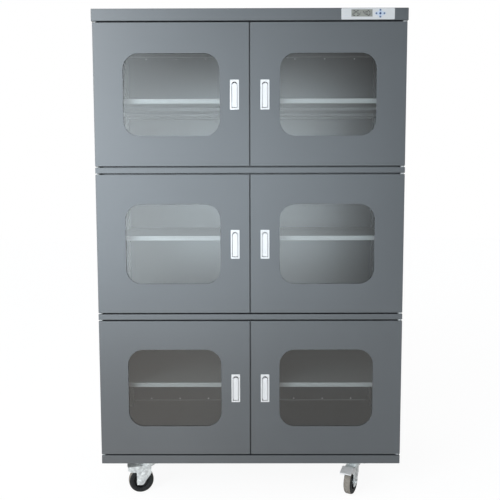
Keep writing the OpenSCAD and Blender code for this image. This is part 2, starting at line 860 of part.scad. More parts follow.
// Case of the drying unit on the inside of the back panel, with a pocket for the shutter
module dry_unit_case() {
    y = back_y - sheet_t;
    color([0.80, 0.81, 0.80]) translate([0, 0, unit_z]) difference() {
        span([-unit_w / 2, y - unit_d, 0], [unit_w / 2, y, unit_h]);
        span([-unit_w / 2 + unit_wall, y - unit_d + unit_wall, unit_wall],
             [unit_w / 2 - unit_wall, y - shutter_pocket - unit_wall, unit_h - unit_wall]);
        translate([0, 0, unit_h / 2])
            span([-pocket_half_w, y - shutter_pocket, -pocket_half_h],
                 [pocket_half_w, y + over, pocket_half_h]);
        translate([0, 0, -unit_z]) vents(y - shutter_pocket - unit_wall, unit_wall, 0);
        for (i = [0 : grille_slots - 1])
            translate([0, 0, unit_h / 2 + (i - (grille_slots - 1) / 2) * grille_pitch])
                slab(y - unit_d - over, unit_wall + 2 * over)
                    square([grille_slot_w, grille_slot_h], center = true);
    }
}

// Sieve cassette on two feet, with a heater rod through it
module dry_unit_core() {
    y = back_y - sheet_t - shutter_pocket - (unit_d - shutter_pocket) / 2;
    color([0.85, 0.80, 0.66]) translate([0, y, unit_z + unit_wall]) {
        span([-core_w / 2, -core_d / 2, core_foot], [core_w / 2, core_d / 2, core_foot + core_h]);
        for (x = sides)
            translate([x * core_w / 4, 0, 0])
                span([-core_foot, -core_d / 2, 0], [core_foot, core_d / 2, core_foot]);
        translate([-core_w / 2 - core_foot, 0, core_foot + core_h / 2]) rotate([0, 90, 0])
            cylinder(d = heater_d, h = core_w + 2 * core_foot);
    }
}

// Slotted shutter that uncovers the rear vent when the sieve is heated
module dry_unit_shutter() {
    y = back_y - sheet_t - shutter_play - shutter_t;
    color(zinc) difference() {
        translate([-shutter_travel / 2, 0, unit_z + unit_h / 2])
            span([-shutter_w / 2, y, -shutter_h / 2], [shutter_w / 2, y + shutter_t, shutter_h / 2]);
        vents(y, shutter_t, -shutter_travel);
    }
}

// Puts a caster piece, drawn round its swivel axis with the wheel towards +X, at its corner
module at_caster(x, y, turn) {
    translate([x * caster_x, y * (cabinet_d / 2 - caster_y), 0]) rotate([0, 0, turn]) children();
}

// Top plates with their bolts, kingpins and kingpin nuts
module caster_plates() {
    color(zinc) for (x = sides, y = sides)
        at_caster(x, y, 0) {
            span([-plate_l / 2, -plate_b / 2, caster_h - plate_thick],
                 [plate_l / 2, plate_b / 2, caster_h]);
            for (i = sides, j = sides)
                translate([i * bolt_x, j * bolt_y, caster_h - plate_thick - bolt_head_h])
                    cylinder(d = bolt_head_d, h = bolt_head_h, $fn = 6);
            translate([0, 0, roof_z - slide_clear])
                cylinder(d = kingpin_d, h = caster_h - plate_thick - roof_z + slide_clear);
            translate([0, 0, roof_z - slide_clear - kingpin_nut_h])
                cylinder(d = kingpin_nut_d, h = kingpin_nut_h, $fn = 6);
        }
}

// Swivel fork: raceway cup, roof, two legs and the wheel's axle bolt
module fork(x, y, turn, braked) {
    tail = caster_trail + (braked ? braked_tail : roof_tail);
    top = roof_z + roof_t;
    race_top = caster_h - plate_thick - slide_clear;
    color(zinc) at_caster(x, y, turn) {
        difference() {
            union() {
                translate([0, 0, roof_z]) linear_extrude(roof_t) roof_outline(tail);
                translate([0, 0, top]) cylinder(d = race_d, h = race_top - top);
                translate([0, 0, race_top - race_lip_h]) cylinder(d = race_lip_d, h = race_lip_h);
                for (s = sides)
                    translate([0, s * (leg_in + leg_t / 2) - leg_t / 2, 0]) slab(0, leg_t) leg_outline(tail);
            }
            translate([0, 0, roof_z - over]) cylinder(d = kingpin_d + 2 * run_clear, h = caster_h - roof_z);
            if (braked) translate([brake_pivot_u, -brake_half - over, brake_pivot_z]) rotate([-90, 0, 0])
                cylinder(d = brake_pin_d + 2 * run_clear, h = 2 * (brake_half + over));
        }
        translate([caster_trail, 0, axle_z]) rotate([90, 0, 0]) {
            cylinder(d = axle_d, h = 2 * (leg_in + leg_t), center = true);
            for (s = sides)
                translate([0, 0, s * (leg_in + leg_t + axle_head_h / 2)])
                    cylinder(d = axle_head_d, h = axle_head_h, center = true, $fn = 6);
        }
    }
}

module roof_outline(tail) {
    circle(roof_r);
    translate([-roof_nose, -leg_in - leg_t]) square([tail + roof_nose, 2 * (leg_in + leg_t)]);
}

// Side of a fork leg round the axle
module leg_outline(tail) {
    r = wheel_d / 2;
    reach = tail - caster_trail;
    top = roof_z - axle_z + roof_t;
    translate([caster_trail, axle_z]) {
        polygon(concat([for (p = leg_front_shares) r * p],
                       [[leg_front_shares[3][0] * r, top], [reach, top]],
                       [for (p = leg_rear_shares) [min(p[0] * r, reach), p[1] * r]]));
        translate([leg_foot_u, 0]) circle(leg_foot_r);
    }
}

// Wheel with its tyre, rim, web and hub turned from one profile
module wheel(x, y, turn) {
    color([0.20, 0.21, 0.21]) at_caster(x, y, turn)
        translate([caster_trail, 0, axle_z]) rotate([90, 0, 0]) rotate_extrude() wheel_profile();
}

module wheel_profile() {
    r = wheel_d / 2;
    bore = axle_d / 2 + run_clear;
    difference() {
        union() {
            translate([r - tyre_shoulder - (r - hub_r) / 2, -tread_w / 2])
                square([(r - hub_r) / 2, tread_w]);
            translate([hub_r, -tread_w / 2]) square([r - tyre_shoulder - hub_r, tread_w]);
            translate([hub_r, -tread_w / 2 + tyre_shoulder])
                square([r - hub_r, tread_w - 2 * tyre_shoulder]);
            for (s = sides)
                translate([r - tyre_shoulder, s * (tread_w / 2 - tyre_shoulder)]) circle(tyre_shoulder);
            translate([bore, -web_w / 2]) square([hub_r - bore + over, web_w]);
            translate([bore, -hub_w / 2]) square([hub_boss_r - bore, hub_w]);
        }
        for (s = sides)
            translate([wheel_ring_r, s * tread_w / 2]) circle(wheel_ring_d);
    }
}

// Brake pedal with two side arms, a pin through the fork and a shoe over the tread
module brake(x, y, turn) {
    shoe_w = tread_w * shoe_w_share;
    color(bright) at_caster(x, y, turn) translate([brake_pivot_u, 0, brake_pivot_z]) {
        slab(-brake_half, 2 * brake_half) pedal_profile();
        for (s = sides)
            slab(s * (brake_half - brake_arm_t / 2) - brake_arm_t / 2, brake_arm_t) brake_arm();
        translate([0, -brake_half, 0]) rotate([-90, 0, 0])
            cylinder(d = brake_pin_d, h = 2 * brake_half);
        slab(-shoe_w / 2, shoe_w) polygon(pedal_l * shoe_shares);
    }
}

// Tread plate of the pedal with its rolled lip
module pedal_profile() {
    polygon(pedal_l * pedal_shares);
    translate([pedal_l, 0]) circle(brake_lip_r);
}

module brake_arm() {
    polygon(pedal_l * brake_arm_shares);
    circle(brake_eye_r);
}

side_panels();
back_panel();
top_cap();
base_tray();
cross_rails();
centre_mullion();
shelves();
shelf_clips();
hinge_pins();
hinge_washers();
door_gaskets();
display_bezel();
display_window();
control_board();
dry_unit_case();
dry_unit_core();
dry_unit_shutter();
caster_plates();
power_inlet();
door(left, upper);  // upper_left_door
glass(left, upper);  // upper_left_glass
latch_case(left, upper);  // upper_left_latch_case
lever(left, upper, false);  // upper_left_lever
door(right, upper);  // upper_right_door
glass(right, upper);  // upper_right_glass
latch_case(right, upper);  // upper_right_latch_case
lever(right, upper, false);  // upper_right_lever
door(left, middle);  // middle_left_door
glass(left, middle);  // middle_left_glass
latch_case(left, middle);  // middle_left_latch_case
lever(left, middle, true);  // middle_left_lever
door(right, middle);  // middle_right_door
glass(right, middle);  // middle_right_glass
latch_case(right, middle);  // middle_right_latch_case
lever(right, middle, true);  // middle_right_lever
door(left, lower);  // lower_left_door
glass(left, lower);  // lower_left_glass
latch_case(left, lower);  // lower_left_latch_case
lever(left, lower, false);  // lower_left_lever
door(right, lower);  // lower_right_door
glass(right, lower);  // lower_right_glass
latch_case(right, lower);  // lower_right_latch_case
lever(right, lower, false);  // lower_right_lever
key_cylinder(left, middle);  // middle_left_key_cylinder
key_cylinder(right, middle);  // middle_right_key_cylinder
fork(left, front, front_left_turn, false);  // front_left_fork
wheel(left, front, front_left_turn);  // front_left_wheel
fork(right, front, front_right_turn, true);  // front_right_fork
wheel(right, front, front_right_turn);  // front_right_wheel
brake(right, front, front_right_turn);  // front_right_brake
fork(left, rear, rear_left_turn, true);  // rear_left_fork
wheel(left, rear, rear_left_turn);  // rear_left_wheel
brake(left, rear, rear_left_turn);  // rear_left_brake
fork(right, rear, rear_right_turn, false);  // rear_right_fork
wheel(right, rear, rear_right_turn);  // rear_right_wheel
panel_key(0, 1, key_cap_d, [0.45, 0.62, 0.82]);  // key_up
panel_key(0, -1, key_cap_d, [0.45, 0.62, 0.82]);  // key_down
panel_key(-1, 0, key_cap_d, [0.45, 0.62, 0.82]);  // key_left
panel_key(1, 0, key_cap_d, [0.45, 0.62, 0.82]);  // key_right
panel_key(0, 0, centre_key_d, [0.15, 0.24, 0.45]);  // key_centre
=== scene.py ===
"""Finishes a six-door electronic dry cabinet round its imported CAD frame.

X runs to the viewer's right, Y from the door faces into the cabinet and Z up from the floor. All sizes
are metres. Each sub-assembly is a class that holds its sizes, builds its pieces and gives them a finish.
"""

import json
import logging
import math
from dataclasses import dataclass
from enum import Enum
from typing import Callable, Iterable, Sequence

import bmesh
import bpy
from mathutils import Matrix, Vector


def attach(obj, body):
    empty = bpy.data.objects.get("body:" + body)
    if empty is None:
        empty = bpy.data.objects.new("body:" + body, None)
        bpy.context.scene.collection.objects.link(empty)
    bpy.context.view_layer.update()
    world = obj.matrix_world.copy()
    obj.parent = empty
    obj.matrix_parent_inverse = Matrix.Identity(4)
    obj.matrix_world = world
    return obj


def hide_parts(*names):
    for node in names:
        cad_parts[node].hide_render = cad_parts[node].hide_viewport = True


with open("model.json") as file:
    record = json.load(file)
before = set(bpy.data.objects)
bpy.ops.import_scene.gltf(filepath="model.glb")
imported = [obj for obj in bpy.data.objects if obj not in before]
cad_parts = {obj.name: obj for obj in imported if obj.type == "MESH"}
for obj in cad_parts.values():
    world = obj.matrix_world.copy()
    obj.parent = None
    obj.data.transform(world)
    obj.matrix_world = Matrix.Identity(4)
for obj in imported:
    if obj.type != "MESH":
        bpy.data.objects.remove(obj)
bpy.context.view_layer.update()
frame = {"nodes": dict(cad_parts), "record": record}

LOG = logging.getLogger("dry_cabinet")
MM = 0.001
Pair = tuple[float, float]
Triple = tuple[float, float, float]
Colour = Triple


class Side(Enum):
    """Side of the cabinet, as the sign of its X."""

    LEFT = -1
    RIGHT = 1


class Tier(Enum):
    """Tier of doors, counted from the base."""

    LOWER = 0
    MIDDLE = 1
    UPPER = 2


class Ray(Enum):
    """Kind of ray that meets a point, by its name on a Light Path node."""

    CAMERA = "Is Camera Ray"
    MIRRORED = "Is Glossy Ray"
    REFRACTED = "Is Transmission Ray"


# Node trees


def add_node(
    tree: bpy.types.NodeTree, kind: str, inputs: dict | None, settings: dict | None
) -> bpy.types.Node:
    """Adds a node to the tree of a material, the world or a shape.

    Args:
        tree: The tree.
        kind: Blender's name of the node type.
        inputs: Value, colour, link or list of links of each input, by name or number.
        settings: Properties that are set before the inputs.

    Returns:
        The new node.
    """
    node = tree.nodes.new(kind)
    for key, value in (settings or {}).items():
        setattr(node, key, value)
    for key, value in (inputs or {}).items():
        socket = node.inputs[key]
        links = value if isinstance(value, list) else [value]
        if isinstance(links[0], bpy.types.NodeSocket):
            for link in links:
                tree.links.new(link, socket)
        elif socket.type == "RGBA":
            socket.default_value = (*value, 1.0)
        else:
            socket.default_value = value
    return node


class Signal:
    """One output of a shader node, with arithmetic that adds Math nodes to its graph."""

    def __init__(self, graph: "Graph", socket: bpy.types.NodeSocket) -> None:
        """Wraps a socket.

        Args:
            graph: The graph that the socket belongs to.
            socket: The output socket.
        """
        self.graph = graph
        self.socket = socket

    def __add__(self, other: "Value") -> "Signal":
        """Adds a number or signal."""
        return self.graph.maths("ADD", self, other)

    def __radd__(self, other: "Value") -> "Signal":
        """Adds this signal to a number."""
        return self.graph.maths("ADD", other, self)

    def __sub__(self, other: "Value") -> "Signal":
        """Subtracts a number or signal."""
        return self.graph.maths("SUBTRACT", self, other)

    def __rsub__(self, other: "Value") -> "Signal":
        """Subtracts this signal from a number."""
        return self.graph.maths("SUBTRACT", other, self)

    def __mul__(self, other: "Value") -> "Signal":
        """Multiplies by a number or signal."""
        return self.graph.maths("MULTIPLY", self, other)

    def __rmul__(self, other: "Value") -> "Signal":
        """Multiplies a number by this signal."""
        return self.graph.maths("MULTIPLY", other, self)

    def __truediv__(self, other: "Value") -> "Signal":
        """Divides by a number or signal."""
        return self.graph.maths("DIVIDE", self, other)

    def __rtruediv__(self, other: "Value") -> "Signal":
        """Divides a number by this signal."""
        return self.graph.maths("DIVIDE", other, self)

    def __abs__(self) -> "Signal":
        """Takes the distance from zero."""
        return self.graph.maths("ABSOLUTE", self)

    def above(self, limit: "Value") -> "Signal":
        """Gives 1 where the signal is above the limit, else 0."""
        return self.graph.maths("GREATER_THAN", self, limit)

    def below(self, limit: "Value") -> "Signal":
        """Gives 1 where the signal is below the limit, else 0."""
        return self.graph.maths("LESS_THAN", self, limit)

    def at_least(self, other: "Value") -> "Signal":
        """Gives the larger of the signal and another."""
        return self.graph.maths("MAXIMUM", self, other)

    def smooth(self, low: float, high: float) -> "Signal":
        """Rises smoothly from 0 at low to 1 at high."""
        inputs = {"Value": self, "From Min": low, "From Max": high}
        return self.graph.node("ShaderNodeMapRange", inputs, {"interpolation_type": "SMOOTHSTEP"})


Value = float | int | Signal


class Graph:
    """Node tree of one material or of the world.

    A Mix node's colour sockets are picked by number, because its sockets share their names.
    """

    MIX_FIRST, MIX_SECOND, MIX_RESULT = 6, 7, 2

    def __init__(self, owner: bpy.types.Material | bpy.types.World) -> None:
        """Empties the owner's tree.

        Args:
            owner: The material or world that the graph shades.
        """
        owner.use_nodes = True
        self.owner = owner
        self.tree = owner.node_tree
        self.tree.nodes.clear()

    @classmethod
    def material(cls, name: str) -> "Graph":
        """Starts the graph of a new material."""
        return cls(bpy.data.materials.new(name))

    def node(
        self, kind: str, inputs: dict | None = None, settings: dict | None = None, output: int | str = 0
    ) -> Signal:
        """Adds a node.

        Args:
            kind: Blender's name of the node type.
            inputs: Value, colour or signal of each input, by name or number.
            settings: Properties that are set first.
            output: Name or number of the output that is returned.

        Returns:
            The chosen output of the new node.
        """
        links = {k: v.socket if isinstance(v, Signal) else v for k, v in (inputs or {}).items()}
        return Signal(self, add_node(self.tree, kind, links, settings).outputs[output])

    def maths(self, operation: str, first: Value, second: Value = 0.0) -> Signal:
        """Adds a Math node on two numbers or signals."""
        return self.node("ShaderNodeMath", {0: first, 1: second}, {"operation": operation})

    def sine(self, angle: Signal) -> Signal:
        """Takes the sine of an angle in radians."""
        return self.maths("SINE", angle)

    def place(self) -> Signal:
        """Gives the object coordinates of the shaded point."""
        return self.node("ShaderNodeTexCoord", output="Object")

    def stretch(self, point: Signal, scale: Triple) -> Signal:
        """Scales coordinates by a different amount along each axis."""
        return self.node("ShaderNodeVectorMath", {0: point, 1: scale}, {"operation": "MULTIPLY"})

    def axes(self, point: Signal) -> tuple[Signal, Signal, Signal]:
        """Splits coordinates into X, Y and Z."""
        split = self.node("ShaderNodeSeparateXYZ", {0: point}).socket.node
        return tuple(Signal(self, axis) for axis in split.outputs)

    def noise(self, point: Signal, scale: float, detail: float = 3.0, roughness: float = 0.55) -> Signal:
        """Gives noise between 0 and 1 with so many features per metre."""
        inputs = {"Vector": point, "Scale": scale, "Detail": detail, "Roughness": roughness}
        return self.node("ShaderNodeTexNoise", inputs)

    def cells(self, point: Signal, scale: float, output: str) -> Signal:
        """Gives the Distance to the middle or the Color of cells, so many per metre."""
        return self.node("ShaderNodeTexVoronoi", {"Vector": point, "Scale": scale}, output=output)

    def blend(self, factor: Value, first: Colour | Signal, second: Colour | Signal) -> Signal:
        """Mixes two colours: the first at factor 0, the second at 1."""
        inputs = {0: factor, self.MIX_FIRST: first, self.MIX_SECOND: second}
        return self.node("ShaderNodeMix", inputs, {"data_type": "RGBA"}, self.MIX_RESULT)

    def bump(self, height: Signal, distance: float, strength: float) -> Signal:
        """Turns a height between 0 and 1 into a bumped normal."""
        inputs = {"Height": height, "Distance": distance, "Strength": strength}
        return self.node("ShaderNodeBump", inputs)

    def attribute(self, name: str) -> Signal:
        """Reads a number that is stored on the piece's points."""
        return self.node("ShaderNodeAttribute", None, {"attribute_name": name}, "Fac")

    def ray(self, kind: Ray) -> Signal:
        """Gives 1 where the point is met by a ray of the kind, else 0."""
        return self.node("ShaderNodeLightPath", output=kind.value)

    def principled(self, **inputs: Value | Colour) -> Signal:
        """Adds a Principled shader; underscores in input names stand for spaces."""
        spaced = {name.replace("_", " "): value for name, value in inputs.items()}
        return self.node("ShaderNodeBsdfPrincipled", spaced)

    def close(self, shader: Signal) -> bpy.types.Material | bpy.types.World:
        """Links the shader to the output node.

        Args:
            shader: The shader.

        Returns:
            The material or world that the graph shades.
        """
        is_world = isinstance(self.owner, bpy.types.World)
        kind = "ShaderNodeOutputWorld" if is_world else "ShaderNodeOutputMaterial"
        add_node(self.tree, kind, {"Surface": shader.socket}, None)
        return self.owner


def toned(colour: Colour, factor: float) -> Colour:
    """Darkens or lightens a colour by a factor, up to white."""
    return tuple(min(1.0, channel * factor) for channel in colour)


# Finishes


@dataclass(frozen=True)
class Finish:
    """A finish that is laid over a piece by its object coordinates."""

    name: str

    def build(self) -> bpy.types.Material:
        """Makes the material."""
        g = Graph.material(self.name)
        return g.close(self.shade(g, g.place()))

    def shade(self, g: Graph, at: Signal) -> Signal:
        """Builds the shader, in each finish's own way.

        Args:
            g: The material's graph.
            at: Object coordinates of the shaded point.

        Returns:
            The shader.
        """
        raise NotImplementedError


@dataclass(frozen=True)
class PowderCoat(Finish):
    """Wrinkle powder coat on sheet steel."""

    colour: Colour
    wrinkles: float = 520.0
    depth: float = 0.10 * MM
    roughness: float = 0.33
    mottle: float = 0.10
    ior: float = 1.85
    patches: float = 2.6
    dulling: float = 0.22
    relief: float = 0.55

    def shade(self, g: Graph, at: Signal) -> Signal:
        """Mottles the colour and wrinkles the surface.

        Args:
            g: The material's graph.
            at: Object coordinates of the shaded point.

        Returns:
            The shader.
        """
        wrinkle = g.noise(at, self.wrinkles, 4.0, 0.62)
        orange_peel = g.noise(at, self.wrinkles / 4, 2.0)
        patch = g.noise(at, self.patches)
        dark, light = toned(self.colour, 1 - self.mottle), toned(self.colour, 1 + self.mottle)
        return g.principled(
            Base_Color=g.blend(patch.smooth(0.3, 0.7) * 0.5 + wrinkle * 0.5, dark, light),
            Roughness=self.roughness + (wrinkle - 0.5) * self.dulling,
            IOR=self.ior,
            Normal=g.bump(wrinkle * 0.7 + orange_peel * 0.3, self.depth, self.relief),
        )


@dataclass(frozen=True)
class WindowGlass(Finish):
    """Tempered pane: clear, with a mirror-like sheen and a faint grey film."""

    film: float = 0.012
    tint: Colour = (1.0, 0.96, 0.92)
    clear: Colour = (0.93, 0.95, 0.95)
    ior: float = 1.5
    roughness: float = 0.07
    waves: float = 9.0
    wave_h: float = 0.4 * MM
    relief: float = 0.04

    def shade(self, g: Graph, at: Signal) -> Signal:
        """Mixes a clear and a mirroring layer by the angle of view.

        Args:
            g: The material's graph.
            at: Object coordinates of the shaded point.

        Returns:
            The shader.
        """
        ripple = g.noise(at, self.waves, 2.0)
        normal = g.bump(ripple, self.wave_h, self.relief)
        clear = g.node("ShaderNodeBsdfTransparent", {"Color": self.clear})
        gloss = g.principled(
            Base_Color=g.blend(ripple, self.tint, toned(self.tint, 0.94)),
            Metallic=1.0,
            Roughness=self.roughness,
            Normal=normal,
        )
        sheen = g.node("ShaderNodeFresnel", {"IOR": self.ior, "Normal": normal})
        return g.node("ShaderNodeMixShader", {0: sheen + self.film, 1: clear, 2: gloss})


@dataclass(frozen=True)
class BrightPlate(Finish):
    """Satin plated metal with a fine upright grain."""

    colour: Colour = (0.77, 0.755, 0.745)
    roughness: float = 0.30
    metal: float = 0.32
    grain: float = 2600.0
    grain_stretch: Triple = (1.0, 1.0, 0.06)
    smudges: float = 60.0

    def shade(self, g: Graph, at: Signal) -> Signal:
        """Draws the grain upright and smudges the plating.

        Args:
            g: The material's graph.
            at: Object coordinates of the shaded point.

        Returns:
            The shader.
        """
        grain = g.noise(g.stretch(at, self.grain_stretch), self.grain, 2.0)
        smudge = g.noise(at, self.smudges)
        return g.principled(
            Base_Color=g.blend(smudge, toned(self.colour, 0.94), self.colour),
            Metallic=self.metal,
            Roughness=self.roughness + grain * 0.08 + smudge * 0.06,
            Normal=g.bump(grain, 0.02 * MM, 0.25),
        )


@dataclass(frozen=True)
class Galvanised(Finish):
    """Zinc plated steel with crystal spangles and dull patches."""

    colour: Colour = (0.76, 0.78, 0.77)
    roughness: float = 0.30
    metal: float = 0.5
    spangles: float = 130.0
    patches: float = 45.0
    grain: float = 900.0

    def shade(self, g: Graph, at: Signal) -> Signal:
        """Scatters spangles and dulls patches of them.

        Args:
            g: The material's graph.
            at: Object coordinates of the shaded point.

        Returns:
            The shader.
        """
        shade = g.axes(g.cells(at, self.spangles, "Color"))[0]
        mark = g.noise(at, self.patches, 4.0, 0.65).smooth(0.45, 0.62)
        fine = g.noise(at, self.grain, 2.0)
        dull = g.blend(mark, toned(self.colour, 0.72), toned(self.colour, 0.95))
        bright = g.blend(shade, self.colour, toned(self.colour, 1.25))
        return g.principled(
            Base_Color=g.blend(mark * 0.45 + shade * 0.5, dull, bright),
            Metallic=self.metal,
            Roughness=self.roughness + (1 - mark) * 0.16 + shade * 0.10,
            Normal=g.bump(fine * 0.5 + shade * 0.5, 0.05 * MM, 0.3),
        )


@dataclass(frozen=True)
class Moulded(Finish):
    """Moulded plastic or rubber with a fine eroded texture."""

    colour: Colour
    roughness: float
    grain: float
    depth: float = 0.05 * MM
    shine: float = 0.5
    dust: float = 0.0
    dust_colour: Colour = (0.32, 0.30, 0.27)
    dust_patches: float = 40.0

    def shade(self, g: Graph, at: Signal) -> Signal:
        """Grains the surface and lays dust on patches of it.

        Args:
            g: The material's graph.
            at: Object coordinates of the shaded point.

        Returns:
            The shader.
        """
        fine = g.noise(at, self.grain)
        patch = g.noise(at, self.dust_patches, 4.0, 0.6)
        base = g.blend(fine, toned(self.colour, 0.88), toned(self.colour, 1.12))
        return g.principled(
            Base_Color=g.blend(patch.smooth(0.42, 0.75) * self.dust, base, self.dust_colour),
            Roughness=self.roughness + (fine - 0.5) * 0.15 + patch * self.dust * 0.2,
            Specular_IOR_Level=self.shine,
            Normal=g.bump(fine, self.depth, 0.4),
        )


@dataclass(frozen=True)
class TyreRubber(Finish):
    """Black wheel rubber whose tread is rubbed pale by the floor."""

    rubber: Colour = (0.012, 0.013, 0.013)
    worn: Colour = (0.44, 0.39, 0.335)
    roughness: float = 0.52
    shine: float = 0.3
    scuffs: float = 120.0
    grain: float = 1400.0

    def shade(self, g: Graph, at: Signal) -> Signal:
        """Wears the rubber where the wheel's tread attribute is high.

        Args:
            g: The material's graph.
            at: Object coordinates of the shaded point.

        Returns:
            The shader.
        """
        scuff = g.noise(at, self.scuffs, 5.0, 0.7)
        fine = g.noise(at, self.grain)
        worn = g.attribute("tread").smooth(0.15, 0.8) * (0.62 + scuff * 0.6)
        rubber = g.blend(fine, self.rubber, toned(self.rubber, 1.7))
        dirt = g.blend(scuff, toned(self.worn, 0.55), self.worn)
        return g.principled(
            Base_Color=g.blend(worn, rubber, dirt),
            Roughness=self.roughness + worn * 0.28 + fine * 0.08,
            Specular_IOR_Level=self.shine,
            Normal=g.bump(scuff * 0.6 + fine * 0.4, 0.15 * MM, 0.45),
        )


@dataclass(frozen=True)
class PanelFilm(Finish):
    """White printed film with two faint bars and a blue field round the keys."""

    centre: Pair
    keys: Pair
    key_step: Pair
    white: Colour = (0.61, 0.605, 0.60)
    blue: Colour = (0.46, 0.54, 0.68)
    grey: Colour = (0.50, 0.53, 0.57)
    petal_long: Pair = (1.45, 1.38)
    petal_short: Pair = (0.52, 0.62)
    bars_left: float = 83 * MM
    bars_apart: float = 6.5 * MM
    bar_half: Pair = (6 * MM, 1.1 * MM)

    def shade(self, g: Graph, at: Signal) -> Signal:
        """Prints the bars and the blue field on the film.

        Args:
            g: The material's graph.
            at: Object coordinates of the shaded point.

        Returns:
            The shader.
        """
        x, _, z = g.axes(at)
        across, up = (x - self.keys[0]) / self.key_step[0], (z - self.keys[1]) / self.key_step[1]
        wide = self._petal(across / self.petal_long[0], up / self.petal_short[1])
        tall = self._petal(across / self.petal_short[0], up / self.petal_long[1])
        left, row = x - (self.centre[0] - self.bars_left), abs(z - self.centre[1])
        bars = abs(left).below(self.bar_half[0]) * abs(row - self.bars_apart).below(self.bar_half[1])
        fine = g.noise(at, 1600.0, 2.0)
        film = g.blend(fine, self.white, toned(self.white, 0.96))
        return g.principled(
            Base_Color=g.blend(bars * 0.45, g.blend(wide.at_least(tall) * 0.75, film, self.blue), self.grey),
            Roughness=0.30 + fine * 0.08,
            Normal=g.bump(fine, 0.02 * MM, 0.3),
        )

    @staticmethod
    def _petal(across: Signal, up: Signal) -> Signal:
        """Gives 1 inside an ellipse of half sizes 1, with a soft edge."""
        return 1 - (across * across + up * up).smooth(0.82, 1.05)


@dataclass(frozen=True)
class LiquidCrystal(Finish):
    """Grey-green liquid crystal cell under a clear cover."""

    colour: Colour = (0.285, 0.285, 0.255)
    roughness: float = 0.16
    cover: float = 0.25
    weave: float = 4200.0
    clouds: float = 60.0

    def shade(self, g: Graph, at: Signal) -> Signal:
        """Weaves the cell's fine grid and clouds it.

        Args:
            g: The material's graph.
            at: Object coordinates of the shaded point.

        Returns:
            The shader.
        """
        x, _, z = g.axes(at)
        grid = g.sine(x * self.weave) * g.sine(z * self.weave)
        cloud = g.noise(at, self.clouds, 2.0)
        tint = g.blend(grid * 0.5 + 0.5, self.colour, toned(self.colour, 1.12))
        return g.principled(
            Base_Color=g.blend(cloud * 0.5, tint, toned(self.colour, 0.8)),
            Roughness=self.roughness + cloud * 0.06,
            Coat_Weight=self.cover,
            Coat_Roughness=0.03,
        )


@dataclass(frozen=True)
class BoardLaminate(Finish):
    """Green solder mask with copper tracks showing through."""

    colour: Colour = (0.012, 0.09, 0.035)
    lanes: Pair = (900.0, 1300.0)
    track_h: float = 0.035 * MM

    def shade(self, g: Graph, at: Signal) -> Signal:
        """Lays the tracks on a grid of lanes.

        Args:
            g: The material's graph.
            at: Object coordinates of the shaded point.

        Returns:
            The shader.
        """
        x, _, z = g.axes(at)
        tracks = (abs(g.sine(x * self.lanes[0])) * abs(g.sine(z * self.lanes[1]))).smooth(0.55, 0.62)
        fine = g.noise(at, 700.0, 2.0)
        return g.principled(
            Base_Color=g.blend(tracks, self.colour, toned(self.colour, 1.9)),
            Roughness=0.34 + fine * 0.1,
            Normal=g.bump(tracks, self.track_h, 0.6),
        )


@dataclass(frozen=True)
class SieveBeads(Finish):
    """Porous beads behind the mesh of their cassette."""

    colour: Colour = (0.60, 0.50, 0.33)
    beads: float = 330.0
    pores: float = 1500.0
    relief: float = 1.2 * MM

    def shade(self, g: Graph, at: Signal) -> Signal:
        """Rounds the beads with a bump and paints shade into the gaps between them.

        Args:
            g: The material's graph.
            at: Object coordinates of the shaded point.

        Returns:
            The shader.
        """
        gap = g.cells(at, self.beads, "Distance")
        pore = g.noise(at, self.pores)
        # Painted shade: the colour darkens to a third of itself towards the gaps between the beads.
        tint = g.blend(gap.smooth(0.2, 0.75), self.colour, toned(self.colour, 0.35))
        return g.principled(
            Base_Color=g.blend(pore * 0.3, tint, toned(self.colour, 0.8)),
            Roughness=0.85,
            Normal=g.bump(1 - gap, self.relief, 0.8),
        )


class Finishes:
    """The materials of the cabinet, each made once."""

    def __init__(self) -> None:
        """Builds every finish."""
        self.paint = PowderCoat("body_powder_coat", (0.063, 0.070, 0.075)).build()
        self.inner_paint = PowderCoat(
            "shelf_powder_coat", (0.45, 0.445, 0.435),
            wrinkles=700.0, depth=0.08 * MM, roughness=0.42, mottle=0.04,
        ).build()
        self.unit_paint = PowderCoat(
            "drying_unit_coat", (0.55, 0.56, 0.55),
            wrinkles=800.0, depth=0.06 * MM, roughness=0.36, mottle=0.03,
        ).build()
        self.glass = WindowGlass("window_pane").build()
        self.bright = BrightPlate("bright_plate").build()
        self.zinc = Galvanised("zinc_plate").build()
        self.seal = Moulded("door_seal", (0.022, 0.022, 0.024), 0.62, 700.0).build()
        self.nylon = Moulded("white_nylon", (0.82, 0.82, 0.80), 0.42, 1200.0, depth=0.02 * MM).build()
        self.black = Moulded("black_moulding", (0.020, 0.020, 0.022), 0.48, 1100.0).build()
        self.hub = Moulded(
            "hub_plastic", (0.014, 0.015, 0.016), 0.45, 1000.0, depth=0.03 * MM, shine=0.25, dust=0.2
        ).build()
        self.tyre = TyreRubber("wheel_rubber").build()
        self.lcd = LiquidCrystal("display_cell").build()
        self.ink = Moulded(
            "display_ink", (0.008, 0.009, 0.011), 0.45, 2000.0, depth=0.01 * MM, shine=0.2
        ).build()
        self.key_blue = Moulded("blue_key", (0.15, 0.20, 0.30), 0.34, 1500.0, depth=0.02 * MM).build()
        self.key_navy = Moulded("navy_key", (0.018, 0.045, 0.15), 0.34, 1500.0, depth=0.02 * MM).build()
        self.board = BoardLaminate("circuit_board").build()
        self.sieve = SieveBeads("sieve_beads").build()


# Making pieces

NEAR = 0.02 * MM
MERGED = 0.004 * MM
FLAT_BELOW = math.radians(0.6)
SHARP_ABOVE = math.radians(34)
ROUNDED_ABOVE = math.radians(38)
SHORTEST_ROUNDED = 0.25 * MM


def cad(node: str) -> bpy.types.Object:
    """Gives the CAD object of a node."""
    return frame["nodes"][node]


def body_of(node: str) -> str:
    """Gives the name of the body that a CAD node belongs to."""
    return next(b for b, nodes in frame["record"]["behaviour"]["bodies"].items() if node in nodes)


